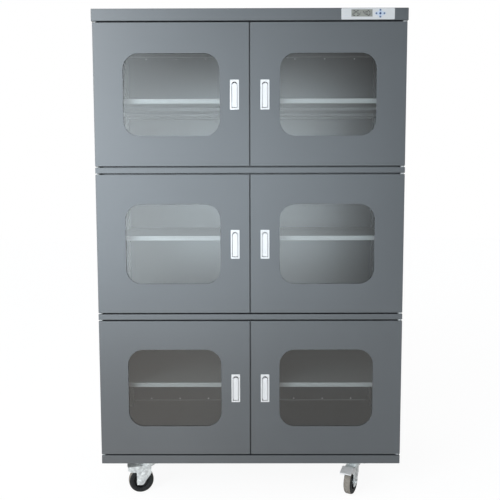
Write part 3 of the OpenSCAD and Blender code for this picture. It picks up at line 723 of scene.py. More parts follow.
def coat(obj: bpy.types.Object, material: bpy.types.Material) -> bpy.types.Object:
    """Gives every slot of a piece one material.

    Args:
        obj: The piece.
        material: The finish.

    Returns:
        The piece.
    """
    if not obj.material_slots:
        obj.data.materials.append(material)
    for material_slot in obj.material_slots:
        material_slot.material = material
    LOG.info("%s: %s", obj.name, material.name)
    return obj


def put(name: str, data: bpy.types.ID) -> bpy.types.Object:
    """Makes an object of a mesh, lamp or camera and puts it in the scene.

    Args:
        name: Name of the object.
        data: What it shows.

    Returns:
        The new object.
    """
    obj = bpy.data.objects.new(name, data)
    bpy.context.scene.collection.objects.link(obj)
    return obj


def apply_modifier(obj: bpy.types.Object, modifier: bpy.types.Modifier) -> None:
    """Makes an object's modifier part of its mesh.

    Args:
        obj: The object.
        modifier: Its only modifier.
    """
    raw = obj.data
    bpy.context.view_layer.update()
    made = bpy.data.meshes.new_from_object(obj.evaluated_get(bpy.context.evaluated_depsgraph_get()))
    obj.modifiers.remove(modifier)
    obj.data = made
    bpy.data.meshes.remove(raw)
    made.name = obj.name


def fit(obj: bpy.types.Object, body: str) -> bpy.types.Object:
    """Lets a piece ride on a body.

    Args:
        obj: The piece, in the row frame.
        body: The body.

    Returns:
        The piece.
    """
    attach(obj, body)
    LOG.info("%s: on %s, %d faces", obj.name, body, len(obj.data.polygons))
    return obj


@dataclass(frozen=True)
class EdgePass:
    """One round of edge rounding: which edges, and how much."""

    radius: float
    picks: Callable[[Vector, Vector, Vector, Vector], bool]
    segments: int = 2


def on_box(a: Vector, b: Vector, low: Vector, high: Vector) -> bool:
    """Picks edges that lie on two faces of their solid's box.

    Args:
        a: One end of the edge.
        b: Its other end.
        low: Lowest corner of the solid's box.
        high: Highest corner of the solid's box.

    Returns:
        Whether the edge is picked.
    """
    shared = 0
    for i in range(3):
        for plane in (low[i], high[i]):
            if abs(a[i] - plane) < NEAR and abs(b[i] - plane) < NEAR:
                shared += 1
    return shared >= 2


def on_front(a: Vector, b: Vector, low: Vector, high: Vector) -> bool:
    """Picks edges on the front face of their solid's box that aren't on its corners."""
    return abs(a.y - low.y) < NEAR and abs(b.y - low.y) < NEAR and not on_box(a, b, low, high)


def everywhere(a: Vector, b: Vector, low: Vector, high: Vector) -> bool:
    """Picks every sharp edge that isn't very short."""
    return (a - b).length > SHORTEST_ROUNDED


def islands(bm: bmesh.types.BMesh) -> dict[int, tuple[Vector, Vector]]:
    """Finds the solids of a mesh.

    Args:
        bm: The mesh, with its doubles merged.

    Returns:
        The lowest and highest corner of its solid, for the index of each vertex.
    """
    bm.verts.index_update()
    boxes: dict[int, tuple[Vector, Vector]] = {}
    for start in bm.verts:
        if start.index in boxes:
            continue
        low, high = start.co.copy(), start.co.copy()
        boxes[start.index] = (low, high)
        stack = [start]
        while stack:
            vert = stack.pop()
            for i in range(3):
                low[i] = min(low[i], vert.co[i])
                high[i] = max(high[i], vert.co[i])
            for edge in vert.link_edges:
                other = edge.other_vert(vert)
                if other.index not in boxes:
                    boxes[other.index] = (low, high)
                    stack.append(other)
    return boxes


def round_edges(bm: bmesh.types.BMesh, rounding: EdgePass) -> None:
    """Rounds the edges that one pass picks.

    Args:
        bm: The mesh.
        rounding: The pass.
    """
    boxes = islands(bm)
    picked = []
    for edge in bm.edges:
        if len(edge.link_faces) != 2 or edge.calc_face_angle(0.0) < ROUNDED_ABOVE:
            continue
        a, b = edge.verts
        if rounding.picks(a.co, b.co, *boxes[a.index]):
            picked.append(edge)
    if picked:
        bmesh.ops.bevel(
            bm,
            geom=picked,
            offset=rounding.radius,
            offset_type="OFFSET",
            segments=rounding.segments,
            profile=0.5,
            affect="EDGES",
            clamp_overlap=True,
        )


def smooth_faces(bm: bmesh.types.BMesh, sharp_above: float) -> None:
    """Smooths a mesh's faces and keeps its open and steep edges sharp.

    Args:
        bm: The mesh.
        sharp_above: Angle in radians from which an edge is sharp.
    """
    for face in bm.faces:
        face.smooth = True
    for edge in bm.edges:
        edge.smooth = len(edge.link_faces) == 2 and edge.calc_face_angle(0.0) < sharp_above


def soften(node: str, slot: str, material: bpy.types.Material, *passes: EdgePass) -> None:
    """Replaces a CAD node by a copy with rounded edges.

    Its normals are weighted by the size of the faces, so that flat sheets stay flat up to their edges.

    Args:
        node: The CAD node.
        slot: The record's material slot; not used.
        material: The finish.
        passes: The rounds of edge rounding, widest first.
    """
    bm = bmesh.new()
    bm.from_mesh(cad(node).data)
    bmesh.ops.remove_doubles(bm, verts=bm.verts, dist=MERGED)
    bmesh.ops.dissolve_limit(bm, angle_limit=FLAT_BELOW, verts=bm.verts, edges=bm.edges)
    for rounding in passes:
        round_edges(bm, rounding)
    smooth_faces(bm, SHARP_ABOVE)
    piece = put(node + "_made", bpy.data.meshes.new(node + "_made"))
    bm.to_mesh(piece.data)
    bm.free()
    modifier = piece.modifiers.new("even", "WEIGHTED_NORMAL")
    modifier.keep_sharp = True
    apply_modifier(piece, modifier)
    coat(fit(piece, body_of(node)), material)
    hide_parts(node)


def prism(bm: bmesh.types.BMesh, outline: Iterable[Pair], y: float, depth: float) -> None:
    """Adds a plate to a mesh.

    Args:
        bm: The mesh that takes it.
        outline: Corners as X and Z, going round anticlockwise as seen from the front.
        y: Place of its front face.
        depth: Its thickness, towards the back.
    """
    points = list(outline)
    near = [bm.verts.new((x, y, z)) for x, z in points]
    far = [bm.verts.new((x, y + depth, z)) for x, z in points]
    bm.faces.new(near)
    bm.faces.new(list(reversed(far)))
    count = len(points)
    for i in range(count):
        bm.faces.new((near[i], far[i], far[(i + 1) % count], near[(i + 1) % count]))


def close_mesh(bm: bmesh.types.BMesh, name: str) -> bpy.types.Mesh:
    """Turns a built mesh's faces outwards and stores it.

    Args:
        bm: The built mesh, which is freed.
        name: Name of the stored mesh.

    Returns:
        The stored mesh.
    """
    bmesh.ops.recalc_face_normals(bm, faces=bm.faces)
    mesh = bpy.data.meshes.new(name)
    bm.to_mesh(mesh)
    bm.free()
    return mesh


# Geometry Nodes

Size = float | bpy.types.NodeSocket


class ShapeTree:
    """A Geometry Nodes tree with named sizes, which is run once for each piece."""

    KINDS = {float: "NodeSocketFloat", int: "NodeSocketInt", tuple: "NodeSocketVector"}

    def __init__(self, name: str) -> None:
        """Starts a tree with one geometry in and one out."""
        self.tree = bpy.data.node_groups.new(name, "GeometryNodeTree")
        for way in ("INPUT", "OUTPUT"):
            self.tree.interface.new_socket("Geometry", in_out=way, socket_type="NodeSocketGeometry")
        self.entry = self.tree.nodes.new("NodeGroupInput")
        self.sizes: dict[str, str] = {}

    def size(self, name: str, value: float | int | tuple) -> bpy.types.NodeSocket:
        """Adds a named size.

        Args:
            name: Name of the input.
            value: Its default, which also gives its type.

        Returns:
            The socket that carries it inside the tree.
        """
        item = self.tree.interface.new_socket(name, in_out="INPUT", socket_type=self.KINDS[type(value)])
        item.default_value = value
        self.sizes[name] = item.identifier
        return self.entry.outputs[name]

    def node(self, kind: str, inputs: dict, settings: dict | None = None) -> bpy.types.NodeSocket:
        """Adds a node.

        Args:
            kind: Blender's name of the node type.
            inputs: Value, socket or list of sockets of each input, by name or number.
            settings: Properties that are set first.

        Returns:
            The first output of the new node.
        """
        return add_node(self.tree, kind, inputs, settings).outputs[0]

    def maths(self, operation: str, first: Size, second: Size) -> bpy.types.NodeSocket:
        """Adds a Math node on two numbers or sockets."""
        return self.node("ShaderNodeMath", {0: first, 1: second}, {"operation": operation})

    def vector(self, x: Size, y: Size, z: Size) -> bpy.types.NodeSocket:
        """Makes a vector of three numbers or sockets."""
        return self.node("ShaderNodeCombineXYZ", {0: x, 1: y, 2: z})

    def ring(self, radius: Size, corners: int) -> bpy.types.NodeSocket:
        """Adds a circle with so many corners."""
        return self.node("GeometryNodeCurvePrimitiveCircle", {"Resolution": corners, "Radius": radius})

    def sweep(self, path: bpy.types.NodeSocket, section: bpy.types.NodeSocket) -> bpy.types.NodeSocket:
        """Sweeps a section along a path."""
        return self.node("GeometryNodeCurveToMesh", {"Curve": path, "Profile Curve": section})

    def moved(self, shape: bpy.types.NodeSocket, **how: object) -> bpy.types.NodeSocket:
        """Moves a shape by a Translation, Rotation or Scale."""
        return self.node("GeometryNodeTransform", {"Geometry": shape, **how})

    def scatter(
        self, shape: bpy.types.NodeSocket, material: bpy.types.Material, **how: object
    ) -> "ShapeTree":
        """Puts a shape on every point and ends the tree in real meshes of one material.

        Args:
            shape: The shape.
            material: Its finish.
            how: Further inputs of the scattering node, such as Rotation.

        Returns:
            The finished tree.
        """
        on_points = {"Points": self.entry.outputs[0], "Instance": shape, **how}
        spread = self.node("GeometryNodeInstanceOnPoints", on_points)
        real = self.node("GeometryNodeRealizeInstances", {0: spread})
        painted = self.node("GeometryNodeSetMaterial", {"Geometry": real, "Material": material})
        add_node(self.tree, "NodeGroupOutput", {0: painted}, None)
        return self

    def run(
        self, name: str, points: Sequence[Triple], body: str, slot: str, **sizes: float | Triple
    ) -> bpy.types.Object:
        """Runs the tree on a set of points and keeps the result as a plain mesh.

        Args:
            name: Name of the piece.
            points: The points that the tree works on, in the row frame.
            body: The body that the piece rides on.
            slot: The record's material slot; not used.
            sizes: Values of the named sizes; underscores stand for spaces.

        Returns:
            The new piece.
        """
        obj = put(name, bpy.data.meshes.new(name))
        obj.data.from_pydata(points, [], [])
        modifier = obj.modifiers.new("shape", "NODES")
        modifier.node_group = self.tree
        for key, value in sizes.items():
            modifier[self.sizes[key.replace("_", " ")]] = value
        apply_modifier(obj, modifier)
        return fit(obj, body)


class Hardware:
    """Trees for the small parts that repeat: screws, washers, weld marks and seals."""

    def __init__(self, finishes: Finishes) -> None:
        """Builds the trees."""
        self.screw = self._screw(finishes.zinc)
        self.washer = self._washer(finishes.zinc)
        self.weld = self._weld(finishes.paint)
        self.seal = self._seal(finishes.seal)

    @staticmethod
    def _screw(material: bpy.types.Material) -> ShapeTree:
        """Builds pan-head screws with a cross recess, their heads along the local Z of each point.

        Args:
            material: The finish.

        Returns:
            The tree.
        """
        t = ShapeTree("pan_head_screws")
        radius, height = t.size("Head radius", 3.6 * MM), t.size("Head height", 2.2 * MM)
        recess, turn = t.size("Recess width", 0.9 * MM), t.size("Turn", (0.0, 0.0, 0.0))
        ball = t.node("GeometryNodeMeshUVSphere", {"Segments": 20, "Rings": 10, "Radius": radius})
        dome = t.moved(ball, Scale=t.vector(1.0, 1.0, t.maths("DIVIDE", height, radius)))
        reach, depth = t.maths("MULTIPLY", radius, 1.15), t.maths("MULTIPLY", height, 0.9)
        bars = [
            t.moved(
                t.node("GeometryNodeMeshCube", {"Size": t.vector(wide, high, depth)}),
                Translation=t.vector(0.0, 0.0, height),
            )
            for wide, high in ((reach, recess), (recess, reach))
        ]
        cut = t.node("GeometryNodeMeshBoolean", {"Mesh 1": dome, "Mesh 2": bars}, {"operation": "DIFFERENCE"})
        return t.scatter(cut, material, Rotation=turn)

    @staticmethod
    def _washer(material: bpy.types.Material) -> ShapeTree:
        """Builds a flat washer round each point.

        Args:
            material: The finish.

        Returns:
            The tree.
        """
        t = ShapeTree("washers")
        radius, thick = t.size("Washer radius", 8.0 * MM), t.size("Thickness", 1.0 * MM)
        sizes = {"Vertices": 32, "Radius": radius, "Depth": thick}
        return t.scatter(t.node("GeometryNodeMeshCylinder", sizes), material)

    @staticmethod
    def _weld(material: bpy.types.Material) -> ShapeTree:
        """Builds spot-weld marks under the paint, as a low rim round each point.

        Args:
            material: The finish.

        Returns:
            The tree.
        """
        t = ShapeTree("weld_marks")
        radius, rise = t.size("Mark radius", 3.2 * MM), t.size("Rise", 0.35 * MM)
        turn = t.size("Turn", (0.0, 0.0, 0.0))
        return t.scatter(t.sweep(t.ring(radius, 20), t.ring(rise, 8)), material, Rotation=turn)

    @staticmethod
    def _seal(material: bpy.types.Material) -> ShapeTree:
        """Builds a bulb seal along a rounded rectangle round each point, in the X-Z plane.

        Args:
            material: The finish.

        Returns:
            The tree.
        """
        t = ShapeTree("bulb_seals")
        width, height = t.size("Width", 0.55), t.size("Height", 0.496)
        corner, bulb, foot = t.size("Corner", 7.5 * MM), t.size("Bulb", 3.3 * MM), t.size("Foot", 4.4 * MM)
        sides = t.node("GeometryNodeCurvePrimitiveQuadrilateral", {"Width": width, "Height": height})
        fillets = {"Curve": sides, "Count": 6, "Radius": corner}
        path = t.node("GeometryNodeFilletCurve", fillets, {"mode": "POLY"})
        parts = [
            t.moved(t.sweep(path, t.ring(radius, 18)), Translation=(0.0, 0.0, lift), Scale=(1.0, 1.0, flat))
            for radius, lift, flat in ((bulb, 4.1 * MM, 1.0), (foot, 1.2 * MM, 0.27))
        ]
        joined = t.node("GeometryNodeJoinGeometry", {0: parts})
        return t.scatter(t.moved(joined, Rotation=(math.radians(90), 0.0, 0.0)), material)


# Sub-assemblies


@dataclass
class Layout:
    """Planes and steps of the cabinet that several sub-assemblies share."""

    front_y: float = -355 * MM
    face_y: float = -317 * MM
    back_y: float = 355 * MM
    door_edge: float = 596 * MM
    body_edge: float = 592 * MM
    base_top: float = 170 * MM
    cap_z: float = 1864 * MM
    door_w: float = 594 * MM
    door_h: float = 540 * MM
    first_door_z: float = 175 * MM
    tier_pitch: float = 572 * MM

    def door_z(self, tier: Tier) -> float:
        """Gives the bottom of a tier's doors."""
        return self.first_door_z + tier.value * self.tier_pitch

    def door_x(self, side: Side) -> float:
        """Gives the middle of a door."""
        return side.value * (self.door_edge - self.door_w / 2)


def steps(low: float, high: float, pitch: float) -> list[float]:
    """Divides a length into even steps of about the pitch and gives their ends."""
    count = max(1, round((high - low) / pitch))
    return [low + (high - low) * i / count for i in range(count + 1)]


@dataclass
class Shell:
    """The painted body: sides, back, cap, base, rails and mullion."""

    layout: Layout
    finishes: Finishes
    hardware: Hardware
    sheet_round: float = 1.3 * MM
    cap_round: float = 2.2 * MM
    lip_round: float = 0.4 * MM
    screw_step: float = 145 * MM
    screw_in: float = 9 * MM
    screw_ends: Pair = (90 * MM, 20 * MM)
    weld_step: float = 85 * MM
    weld_end: float = 30 * MM
    weld_in: Pair = (8 * MM, 12 * MM)

    def build(self) -> None:
        """Builds the pieces of the body."""
        paint, corners = self.finishes.paint, EdgePass(self.cap_round, on_box, 4)
        soften("top_cap", "body_paint", paint, corners, EdgePass(self.lip_round, on_front))
        soften("base_tray", "body_paint", paint, corners)
        soften("cross_rails", "body_paint", paint, EdgePass(self.sheet_round, on_front, 3))
        for node in ("side_panels", "back_panel", "centre_mullion"):
            coat(cad(node), paint)
        coat(cad("hinge_pins"), self.finishes.zinc)
        coat(cad("hinge_washers"), self.finishes.nylon)
        self._screw_back()
        self._mark_welds()

    def _screw_back(self) -> None:
        """Screws the back panel down along its four edges."""
        lay = self.layout
        across = lay.body_edge - self.screw_ends[0]
        low, high = lay.base_top + self.screw_ends[1], lay.cap_z - self.screw_ends[1]
        screws = []
        for x in (-lay.body_edge + self.screw_in, lay.body_edge - self.screw_in):
            screws += [(x, lay.back_y, z) for z in steps(low, high, self.screw_step)]
        for z in (lay.base_top + self.screw_in, lay.cap_z - self.screw_in):
            screws += [(x, lay.back_y, z) for x in steps(-across, across, self.screw_step)]
        turn = (math.radians(-90), 0.0, 0.0)
        self.hardware.screw.run("back_screws", screws, "cabinet", "zinc_plate", Turn=turn)

    def _mark_welds(self) -> None:
        """Marks the spot welds of the sides, along their front and rear returns."""
        lay = self.layout
        low, high = lay.base_top + self.weld_end, lay.cap_z - self.weld_end
        welds = []
        for side in Side:
            for y in (lay.face_y + self.weld_in[0], lay.back_y - self.weld_in[1]):
                welds += [(side.value * lay.body_edge, y, z) for z in steps(low, high, self.weld_step)]
        turn = (0.0, math.radians(90), 0.0)
        self.hardware.weld.run("side_weld_marks", welds, "cabinet", "body_paint", Turn=turn)


@dataclass
class Doors:
    """The six leaves with their panes, seals and latches."""

    layout: Layout
    finishes: Finishes
    hardware: Hardware
    leaf_round: float = 1.2 * MM
    rim_round: float = 0.5 * MM
    case_round: float = 0.8 * MM
    lever_round: float = 1.1 * MM
    seal_in: float = 22 * MM

    def build(self) -> None:
        """Builds every door and the seals."""
        for tier in Tier:
            for side in Side:
                self._leaf(tier, side)
        self._seal()

    def _leaf(self, tier: Tier, side: Side) -> None:
        """Builds one leaf with what is on it.

        Args:
            tier: Its tier.
            side: Its side.
        """
        name = f"{tier.name.lower()}_{side.name.lower()}"
        fin, rims = self.finishes, EdgePass(self.rim_round, on_front)
        soften(name + "_door", "body_paint", fin.paint, EdgePass(self.leaf_round, on_box, 4), rims)
        coat(cad(name + "_glass"), fin.glass)
        soften(name + "_latch_case", "bright_metal", fin.bright, EdgePass(self.case_round, on_box, 3), rims)
        soften(name + "_lever", "bright_metal", fin.bright, EdgePass(self.lever_round, on_front, 3))
        if tier is Tier.MIDDLE:
            coat(cad(name + "_key_cylinder"), fin.bright)

    def _seal(self) -> None:
        """Replaces the seals by bulb seals on the body frame."""
        lay = self.layout
        middle = lay.door_h / 2
        seals = self.hardware.seal.run(
            "door_seals",
            [(lay.door_x(side), lay.face_y, lay.door_z(tier) + middle) for tier in Tier for side in Side],
            "cabinet",
            "seal_rubber",
            Width=lay.door_w - 2 * self.seal_in,
            Height=lay.door_h - 2 * self.seal_in,
        )
        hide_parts("door_gaskets")


@dataclass
class Shelving:
    """The pan shelves and their clips."""

    finishes: Finishes
    edge_round: float = 0.9 * MM

    def build(self) -> None:
        """Builds the shelves."""
        soften("shelves", "shelf_paint", self.finishes.inner_paint, EdgePass(self.edge_round, on_box, 3))
        coat(cad("shelf_clips"), self.finishes.zinc)


@dataclass
class ControlPanel:
    """The display panel in the cap: film, display, digits and keys."""

    layout: Layout
    finishes: Finishes
    centre: Pair = (446.5 * MM, 1887 * MM)
    window: Pair = (-23 * MM, 3 * MM)
    keys: Pair = (46 * MM, 1.5 * MM)
    key_step: Pair = (15 * MM, 12.5 * MM)
    key_face: float = 2.8 * MM
    bezel_rounds: Pair = (0.7 * MM, 0.5 * MM)
    ink_t: float = 0.15 * MM
    digit_h: float = 17 * MM
    digit_w: float = 9.5 * MM
    digit_pitch: float = 1.45
    stroke: float = 3.1 * MM
    dot_at: Pair = (2.85, 0.12)
    dot_rise: float = 3.4 * MM
    dot_half: Pair = (1.1 * MM, 0.7 * MM)
    arrow: tuple[Pair, ...] = ((-2.2 * MM, -1.3 * MM), (2.2 * MM, -1.3 * MM), (0.0, 2.0 * MM))
    readings: tuple[tuple[float, str], ...] = ((-34 * MM, "25"), (6 * MM, "40"))
    lit: tuple[tuple[str, str], ...] = (("0", "abcdef"), ("2", "abged"), ("4", "fgbc"), ("5", "afgcd"))

    def build(self) -> None:
        """Builds the panel."""
        keys = (self.centre[0] + self.keys[0], self.centre[1] + self.keys[1])
        film = PanelFilm("panel_film", self.centre, keys, self.key_step).build()
        corners, rims = self.bezel_rounds
        soften("display_bezel", "panel_white", film, EdgePass(corners, on_box, 3), EdgePass(rims, on_front))
        coat(cad("display_window"), self.finishes.lcd)
        coat(cad("control_board"), self.finishes.board)
        for name in ("key_up", "key_down", "key_left", "key_right"):
            coat(cad(name), self.finishes.key_blue)
        coat(cad("key_centre"), self.finishes.key_navy)
        self._digits()
        self._arrows(*keys)

    def _digits(self) -> None:
        """Draws each reading on the display as segments, with three dots beside it."""
        bm = bmesh.new()
        lit, front = dict(self.lit), self.layout.front_y - self.ink_t
        x0, z0 = self.centre[0] + self.window[0], self.centre[1] + self.window[1]
        half_w, half_h = self.dot_half
        for start, text in self.readings:
            for i, digit in enumerate(text):
                left = x0 + start + i * self.digit_w * self.digit_pitch
                for part in lit[digit]:
                    prism(bm, self._segment(part, left, z0 - self.digit_h / 2), front, self.ink_t)
            for dot in range(3):
                x = x0 + start + self.digit_w * (self.dot_at[0] + self.dot_at[1] * dot)
                z = z0 + (dot - 1) * self.dot_rise
                low, high = z - half_h, z + half_h
                corners = ((x - half_w, low), (x + half_w, low), (x + half_w, high), (x - half_w, high))
                prism(bm, corners, front, self.ink_t)
        digits = put("display_digits", close_mesh(bm, "display_digits"))
        coat(fit(digits, "cabinet"), self.finishes.ink)

    def _segment(self, part: str, x: float, z: float) -> list[Pair]:
        """Gives the outline of one segment.

        Args:
            part: Letter of the segment, from a at the top round to f, with g in the middle.
            x: Left end of the digit.
            z: Bottom of the digit.

        Returns:
            Six corners as X and Z.
        """
        w, h, s = self.digit_w, self.digit_h, self.stroke / 2
        level = {"a": h, "g": h / 2, "d": 0.0}
        if part in level:
            a, b, y = x + s, x + w - s, z + level[part]
            return [(a, y), (a + s, y - s), (b - s, y - s), (b, y), (b - s, y + s), (a + s, y + s)]
        at = x + (w if part in "bc" else 0.0)
        a = z + s + (h / 2 if part in "bf" else 0.0)
        b = a + h / 2 - 2 * s
        return [(at, a), (at + s, a + s), (at + s, b - s), (at, b), (at - s, b - s), (at - s, a + s)]

    def _arrows(self, x0: float, z0: float) -> None:
        """Puts a printed arrow on each of the outer keys.

        Args:
            x0: X of the centre key.
            z0: Z of the centre key.
        """
        front = self.layout.front_y - self.key_face - self.ink_t / 2
        for name, turn in (("key_up", 0), ("key_left", 90), ("key_down", 180), ("key_right", 270)):
            sine, cosine = math.sin(math.radians(turn)), math.cos(math.radians(turn))
            x, z = x0 - sine * self.key_step[0], z0 + cosine * self.key_step[1]
            bm = bmesh.new()
            outline = [(x + u * cosine - v * sine, z + u * sine + v * cosine) for u, v in self.arrow]
            prism(bm, outline, front, self.ink_t)
            arrow = put(name + "_arrow", close_mesh(bm, name + "_arrow"))
            coat(fit(arrow, name + "_button"), self.finishes.key_navy)


@dataclass
class DryingUnit:
    """The drying unit on the inside of the back, and the mains inlet."""

    finishes: Finishes
    case_round: float = 1.2 * MM
    inlet_round: float = 0.5 * MM

    def build(self) -> None:
        """Builds the drying unit and the inlet."""
        fin = self.finishes
        soften("dry_unit_case", "unit_paint", fin.unit_paint, EdgePass(self.case_round, on_box, 3))
        coat(cad("dry_unit_core"), fin.sieve)
        coat(cad("dry_unit_shutter"), fin.zinc)
        soften("power_inlet", "black_plastic", fin.black, EdgePass(self.inlet_round, on_box))


@dataclass
class Casters:
    """Four swivel casters, two of them with brakes.

    The wheel's profile and radii are in millimetres: radius first, then the place along the axle.
    """

    finishes: Finishes
    hardware: Hardware
    x: float = 419 * MM
    y: float = 297 * MM
    trail: float = 30 * MM
    axle_z: float = 50 * MM
    washer_z: float = 131.5 * MM
    bolt: Pair = (40 * MM, 31 * MM)
    fork_round: float = 0.45 * MM
    brake_round: float = 0.3 * MM
    axle_radius: float = 11.0
    rim_radius: float = 31.6
    tread_from: float = 46.8
    tread_over: float = 2.6
    sharp_above: float = math.radians(40)
    around: int = 96
    corners: tuple[tuple[str, int, int, float, bool], ...] = (
        ("front_left", -1, -1, 195.0, False),
        ("front_right", 1, -1, 243.0, True),
        ("rear_left", -1, 1, 75.0, True),
        ("rear_right", 1, 1, 110.0, False),
    )
    half_profile: tuple[Pair, ...] = (
        (4.05, 18.0), (9.4, 18.0), (10.8, 17.0), (11.2, 5.4), (12.8, 4.0), (26.4, 4.0), (28.4, 5.6),
        (29.2, 13.0), (30.0, 14.2), (31.4, 14.4), (31.9, 13.9), (33.2, 14.6), (36.4, 15.0), (37.0, 14.2),
        (39.0, 14.2), (39.6, 15.0), (44.5, 14.7), (47.6, 13.3), (49.2, 11.0), (49.85, 7.4), (49.5, 6.9),
        (49.5, 6.2), (49.95, 5.7), (50.0, 1.5), (49.6, 1.0), (49.6, 0.3),
    )

    def build(self) -> None:
        """Builds the four casters."""
        fin = self.finishes
        coat(cad("caster_plates"), fin.zinc)
        washers = []
        for name, sx, sy, turn, braked in self.corners:
            x, y = sx * self.x, sy * self.y
            washers += [
                (x + i * self.bolt[0], y + j * self.bolt[1], self.washer_z) for i in (-1, 1) for j in (-1, 1)
            ]
            soften(name + "_fork", "zinc_plate", fin.zinc, EdgePass(self.fork_round, everywhere))
            self._wheel(name, Vector((x, y, 0.0)), math.radians(turn))
            if braked:
                soften(name + "_brake", "bright_metal", fin.bright, EdgePass(self.brake_round, everywhere, 1))
        self.hardware.washer.run("caster_washers", washers, "cabinet", "zinc_plate")

    def _wheel(self, name: str, kingpin: Vector, turn: float) -> None:
        """Turns one wheel from its profile and marks how far its tread is worn.

        Args:
            name: Corner of the cabinet.
            kingpin: The swivel axis, on the floor.
            turn: Direction in which the wheel trails.
        """
        up = Vector((0.0, 0.0, 1.0))
        ahead = Vector((math.cos(turn), math.sin(turn), 0.0))
        axle = Vector((-math.sin(turn), math.cos(turn), 0.0))
        centre = kingpin + ahead * self.trail + up * self.axle_z
        profile = list(self.half_profile) + [(r, -a) for r, a in reversed(self.half_profile)]
        verts, tread = [], []
        for i in range(self.around):
            angle = math.tau * i / self.around
            out = ahead * math.cos(angle) + up * math.sin(angle)
            for r, a in profile:
                verts.append(centre + out * (r * MM) + axle * (a * MM))
                tread.append(min(1.0, max(0.0, (r - self.tread_from) / self.tread_over)))
        faces = []
        count = len(profile)
        for i in range(self.around):
            here, there = i * count, (i + 1) % self.around * count
            for j in range(count):
                k = (j + 1) % count
                faces.append((here + j, here + k, there + k, there + j))
        mesh = bpy.data.meshes.new(name + "_wheel_made")
        mesh.from_pydata(verts, [], faces)
        mesh.attributes.new("tread", "FLOAT", "POINT").data.foreach_set("value", tread)
        for material in (self.finishes.tyre, self.finishes.hub, self.finishes.zinc):
            mesh.materials.append(material)
        for k, polygon in enumerate(mesh.polygons):
            r = profile[k % count][0]
            polygon.material_index = 2 if r < self.axle_radius else 1 if r < self.rim_radius else 0
        bm = bmesh.new()
        bm.from_mesh(mesh)
        bmesh.ops.recalc_face_normals(bm, faces=bm.faces)
        smooth_faces(bm, self.sharp_above)
        bm.to_mesh(mesh)
        bm.free()
        wheel = fit(put(name + "_wheel_made", mesh), name + "_roller")
        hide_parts(name + "_wheel")


# Studio


@dataclass(frozen=True)
class Opening:
    """Bright area of the room in front of the cabinet.

    Each edge is given as two slopes of a ray, between which it fades: the ray's X, or its Z, over its length
    towards the viewer.
    """

    level: float
    right: Pair
    low: Pair
    high: Pair
    left: Pair | None = (-1.1, -0.5)

    def glow(self, u: Signal, v: Signal) -> Signal:
        """Gives the brightness that a ray meets.

        Args:
            u: X of the ray, over its length towards the viewer.
            v: Z of the ray, over the same.

        Returns:
            The brightness.
        """
        across = 1 - u.smooth(*self.right)
        if self.left:
            across = across * u.smooth(*self.left)
        return across * v.smooth(*self.low) * (1 - v.smooth(*self.high)) * self.level


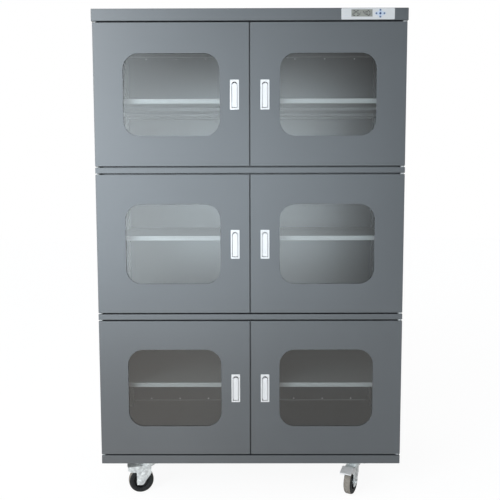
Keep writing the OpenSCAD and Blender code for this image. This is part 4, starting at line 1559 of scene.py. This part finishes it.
@dataclass
class Studio:
    """Camera, floor, lamp and world."""

    camera_at: Triple = (0.0115, -2.955, 1.23)
    pitch_down: float = 5.17
    roll: float = 0.14
    yaw: float = 0.25
    lens: float = 48.33
    sensor: float = 36.0
    floor_half: float = 14.0
    floor_front: float = -4.6
    floor_colour: Colour = (0.86, 0.86, 0.86)
    floor_glow: float = 1.12
    floor_seen: float = 0.82
    floor_mirrored: float = 0.40
    # Painted light: a pool of window light on the floor's left, which only mirrors and glass see.
    floor_light_pool: float = 0.55
    light_pool_edge: Pair = (-0.45, 0.35)
    lamp_power: float = 30.0
    lamp_size: Pair = (1.6, 2.4)
    lamp_at: Triple = (-2.3, -3.3, 2.5)
    lamp_aim: Triple = (-0.3, -0.3, 1.15)
    white: Colour = (1.0, 1.0, 1.0)
    room_level: float = 0.185
    room_left: float = 0.24
    room_top: float = 0.10
    window_colour: Colour = (0.82, 0.94, 1.04)
    least_ahead: float = 0.02
    openings: tuple[Opening, ...] = (
        Opening(3.4, right=(0.0, 0.24), low=(-0.31, -0.06), high=(0.08, 0.26)),
        Opening(1.45, right=(-0.30, -0.06), low=(-0.8, -0.3), high=(0.35, 0.7)),
        Opening(2.2, right=(-0.26, -0.04), low=(0.14, 0.34), high=(0.6, 1.0), left=None),
    )

    def build(self) -> None:
        """Builds the studio."""
        self._camera()
        self._floor()
        self._lamp()
        self._world()
        bpy.context.scene.view_settings.view_transform = "Standard"

    def _camera(self) -> None:
        """Puts the camera where the photograph was taken from."""
        data = bpy.data.cameras.new("camera")
        data.lens = self.lens
        data.sensor_width = self.sensor
        camera = put("camera", data)
        camera.location = self.camera_at
        turn = (90 - self.pitch_down, self.roll, self.yaw)
        camera.rotation_euler = tuple(math.radians(angle) for angle in turn)
        bpy.context.scene.camera = camera

    def _floor(self) -> None:
        """Lays a pale floor that keeps the cabinet's shadow.

        It glows to the camera, and less to mirrors and glass, which see a painted pool of light on its left.
        """
        g = Graph.material("studio_floor")
        at = g.place()
        matte = g.principled(
            Base_Color=g.blend(g.noise(at, 3.0, 2.0), self.floor_colour, toned(self.floor_colour, 0.98)),
            Roughness=0.9,
            Specular_IOR_Level=0.1,
        )
        glow = g.node("ShaderNodeEmission", {"Color": self.white, "Strength": self.floor_glow})
        # Painted light: the floor's left glows brighter to mirrors and glass, as a pool of window light.
        patch = (1 - g.axes(at)[0].smooth(*self.light_pool_edge)) * self.floor_light_pool
        seen = g.ray(Ray.CAMERA) * self.floor_seen
        for kind in (Ray.MIRRORED, Ray.REFRACTED):
            seen = seen.at_least(g.ray(kind) * (patch + self.floor_mirrored))
        mesh = bpy.data.meshes.new("studio_floor")
        half, near = self.floor_half, self.floor_front
        corners = [(-half, near, 0), (half, near, 0), (half, half, 0), (-half, half, 0)]
        mesh.from_pydata(corners, [], [(0, 1, 2, 3)])
        mesh.materials.append(g.close(g.node("ShaderNodeMixShader", {0: seen, 1: matte, 2: glow})))
        put("studio_floor", mesh)

    def _lamp(self) -> None:
        """Hangs a soft lamp in front of the cabinet, on its left."""
        data = bpy.data.lights.new("key_lamp", "AREA")
        data.shape = "RECTANGLE"
        data.size, data.size_y = self.lamp_size
        data.energy = self.lamp_power
        lamp = put("key_lamp", data)
        lamp.location = self.lamp_at
        facing = Vector(self.lamp_aim) - Vector(self.lamp_at)
        lamp.rotation_euler = facing.to_track_quat("-Z", "Y").to_euler()

    def _world(self) -> None:
        """Lights the room: plain and brighter on its left and top, with cool openings in front.

        The camera sees white all round, and mirrors and glass see white behind the cabinet.
        """
        world = bpy.context.scene.world or bpy.data.worlds.new("world")
        bpy.context.scene.world = world
        g = Graph(world)
        x, y, z = g.axes(g.node("ShaderNodeTexCoord", output="Generated"))
        ahead = (0 - y).at_least(self.least_ahead)
        first, *others = [opening.glow(x / ahead, z / ahead) for opening in self.openings]
        window = sum(others, first) * (0 - y).above(self.least_ahead)
        room = (0 - x).smooth(-0.9, 0.9) * self.room_left + self.room_level
        room = room + z.smooth(-0.2, 0.8) * self.room_top
        camera_ray = g.ray(Ray.CAMERA)
        mirrored = g.ray(Ray.MIRRORED).at_least(g.ray(Ray.REFRACTED))
        backdrop = camera_ray.at_least(mirrored * y.above(0.0))
        plain = {"Color": self.white, "Strength": room * (1 - backdrop) + backdrop}
        cool = {"Color": self.window_colour, "Strength": window * (1 - camera_ray)}
        lights = {i: g.node("ShaderNodeBackground", inputs) for i, inputs in enumerate((plain, cool))}
        g.close(g.node("ShaderNodeAddShader", lights))


def main() -> None:
    """Builds the studio and every sub-assembly in order."""
    logging.basicConfig(level=logging.INFO, format="%(name)s: %(message)s")
    Studio().build()
    finishes = Finishes()
    hardware = Hardware(finishes)
    layout = Layout()
    for assembly in (
        Shell(layout, finishes, hardware),
        Doors(layout, finishes, hardware),
        Shelving(finishes),
        ControlPanel(layout, finishes),
        DryingUnit(finishes),
        Casters(finishes, hardware),
    ):
        assembly.build()
        LOG.info("%s done", type(assembly).__name__)


if __name__ == "__main__":
    main()
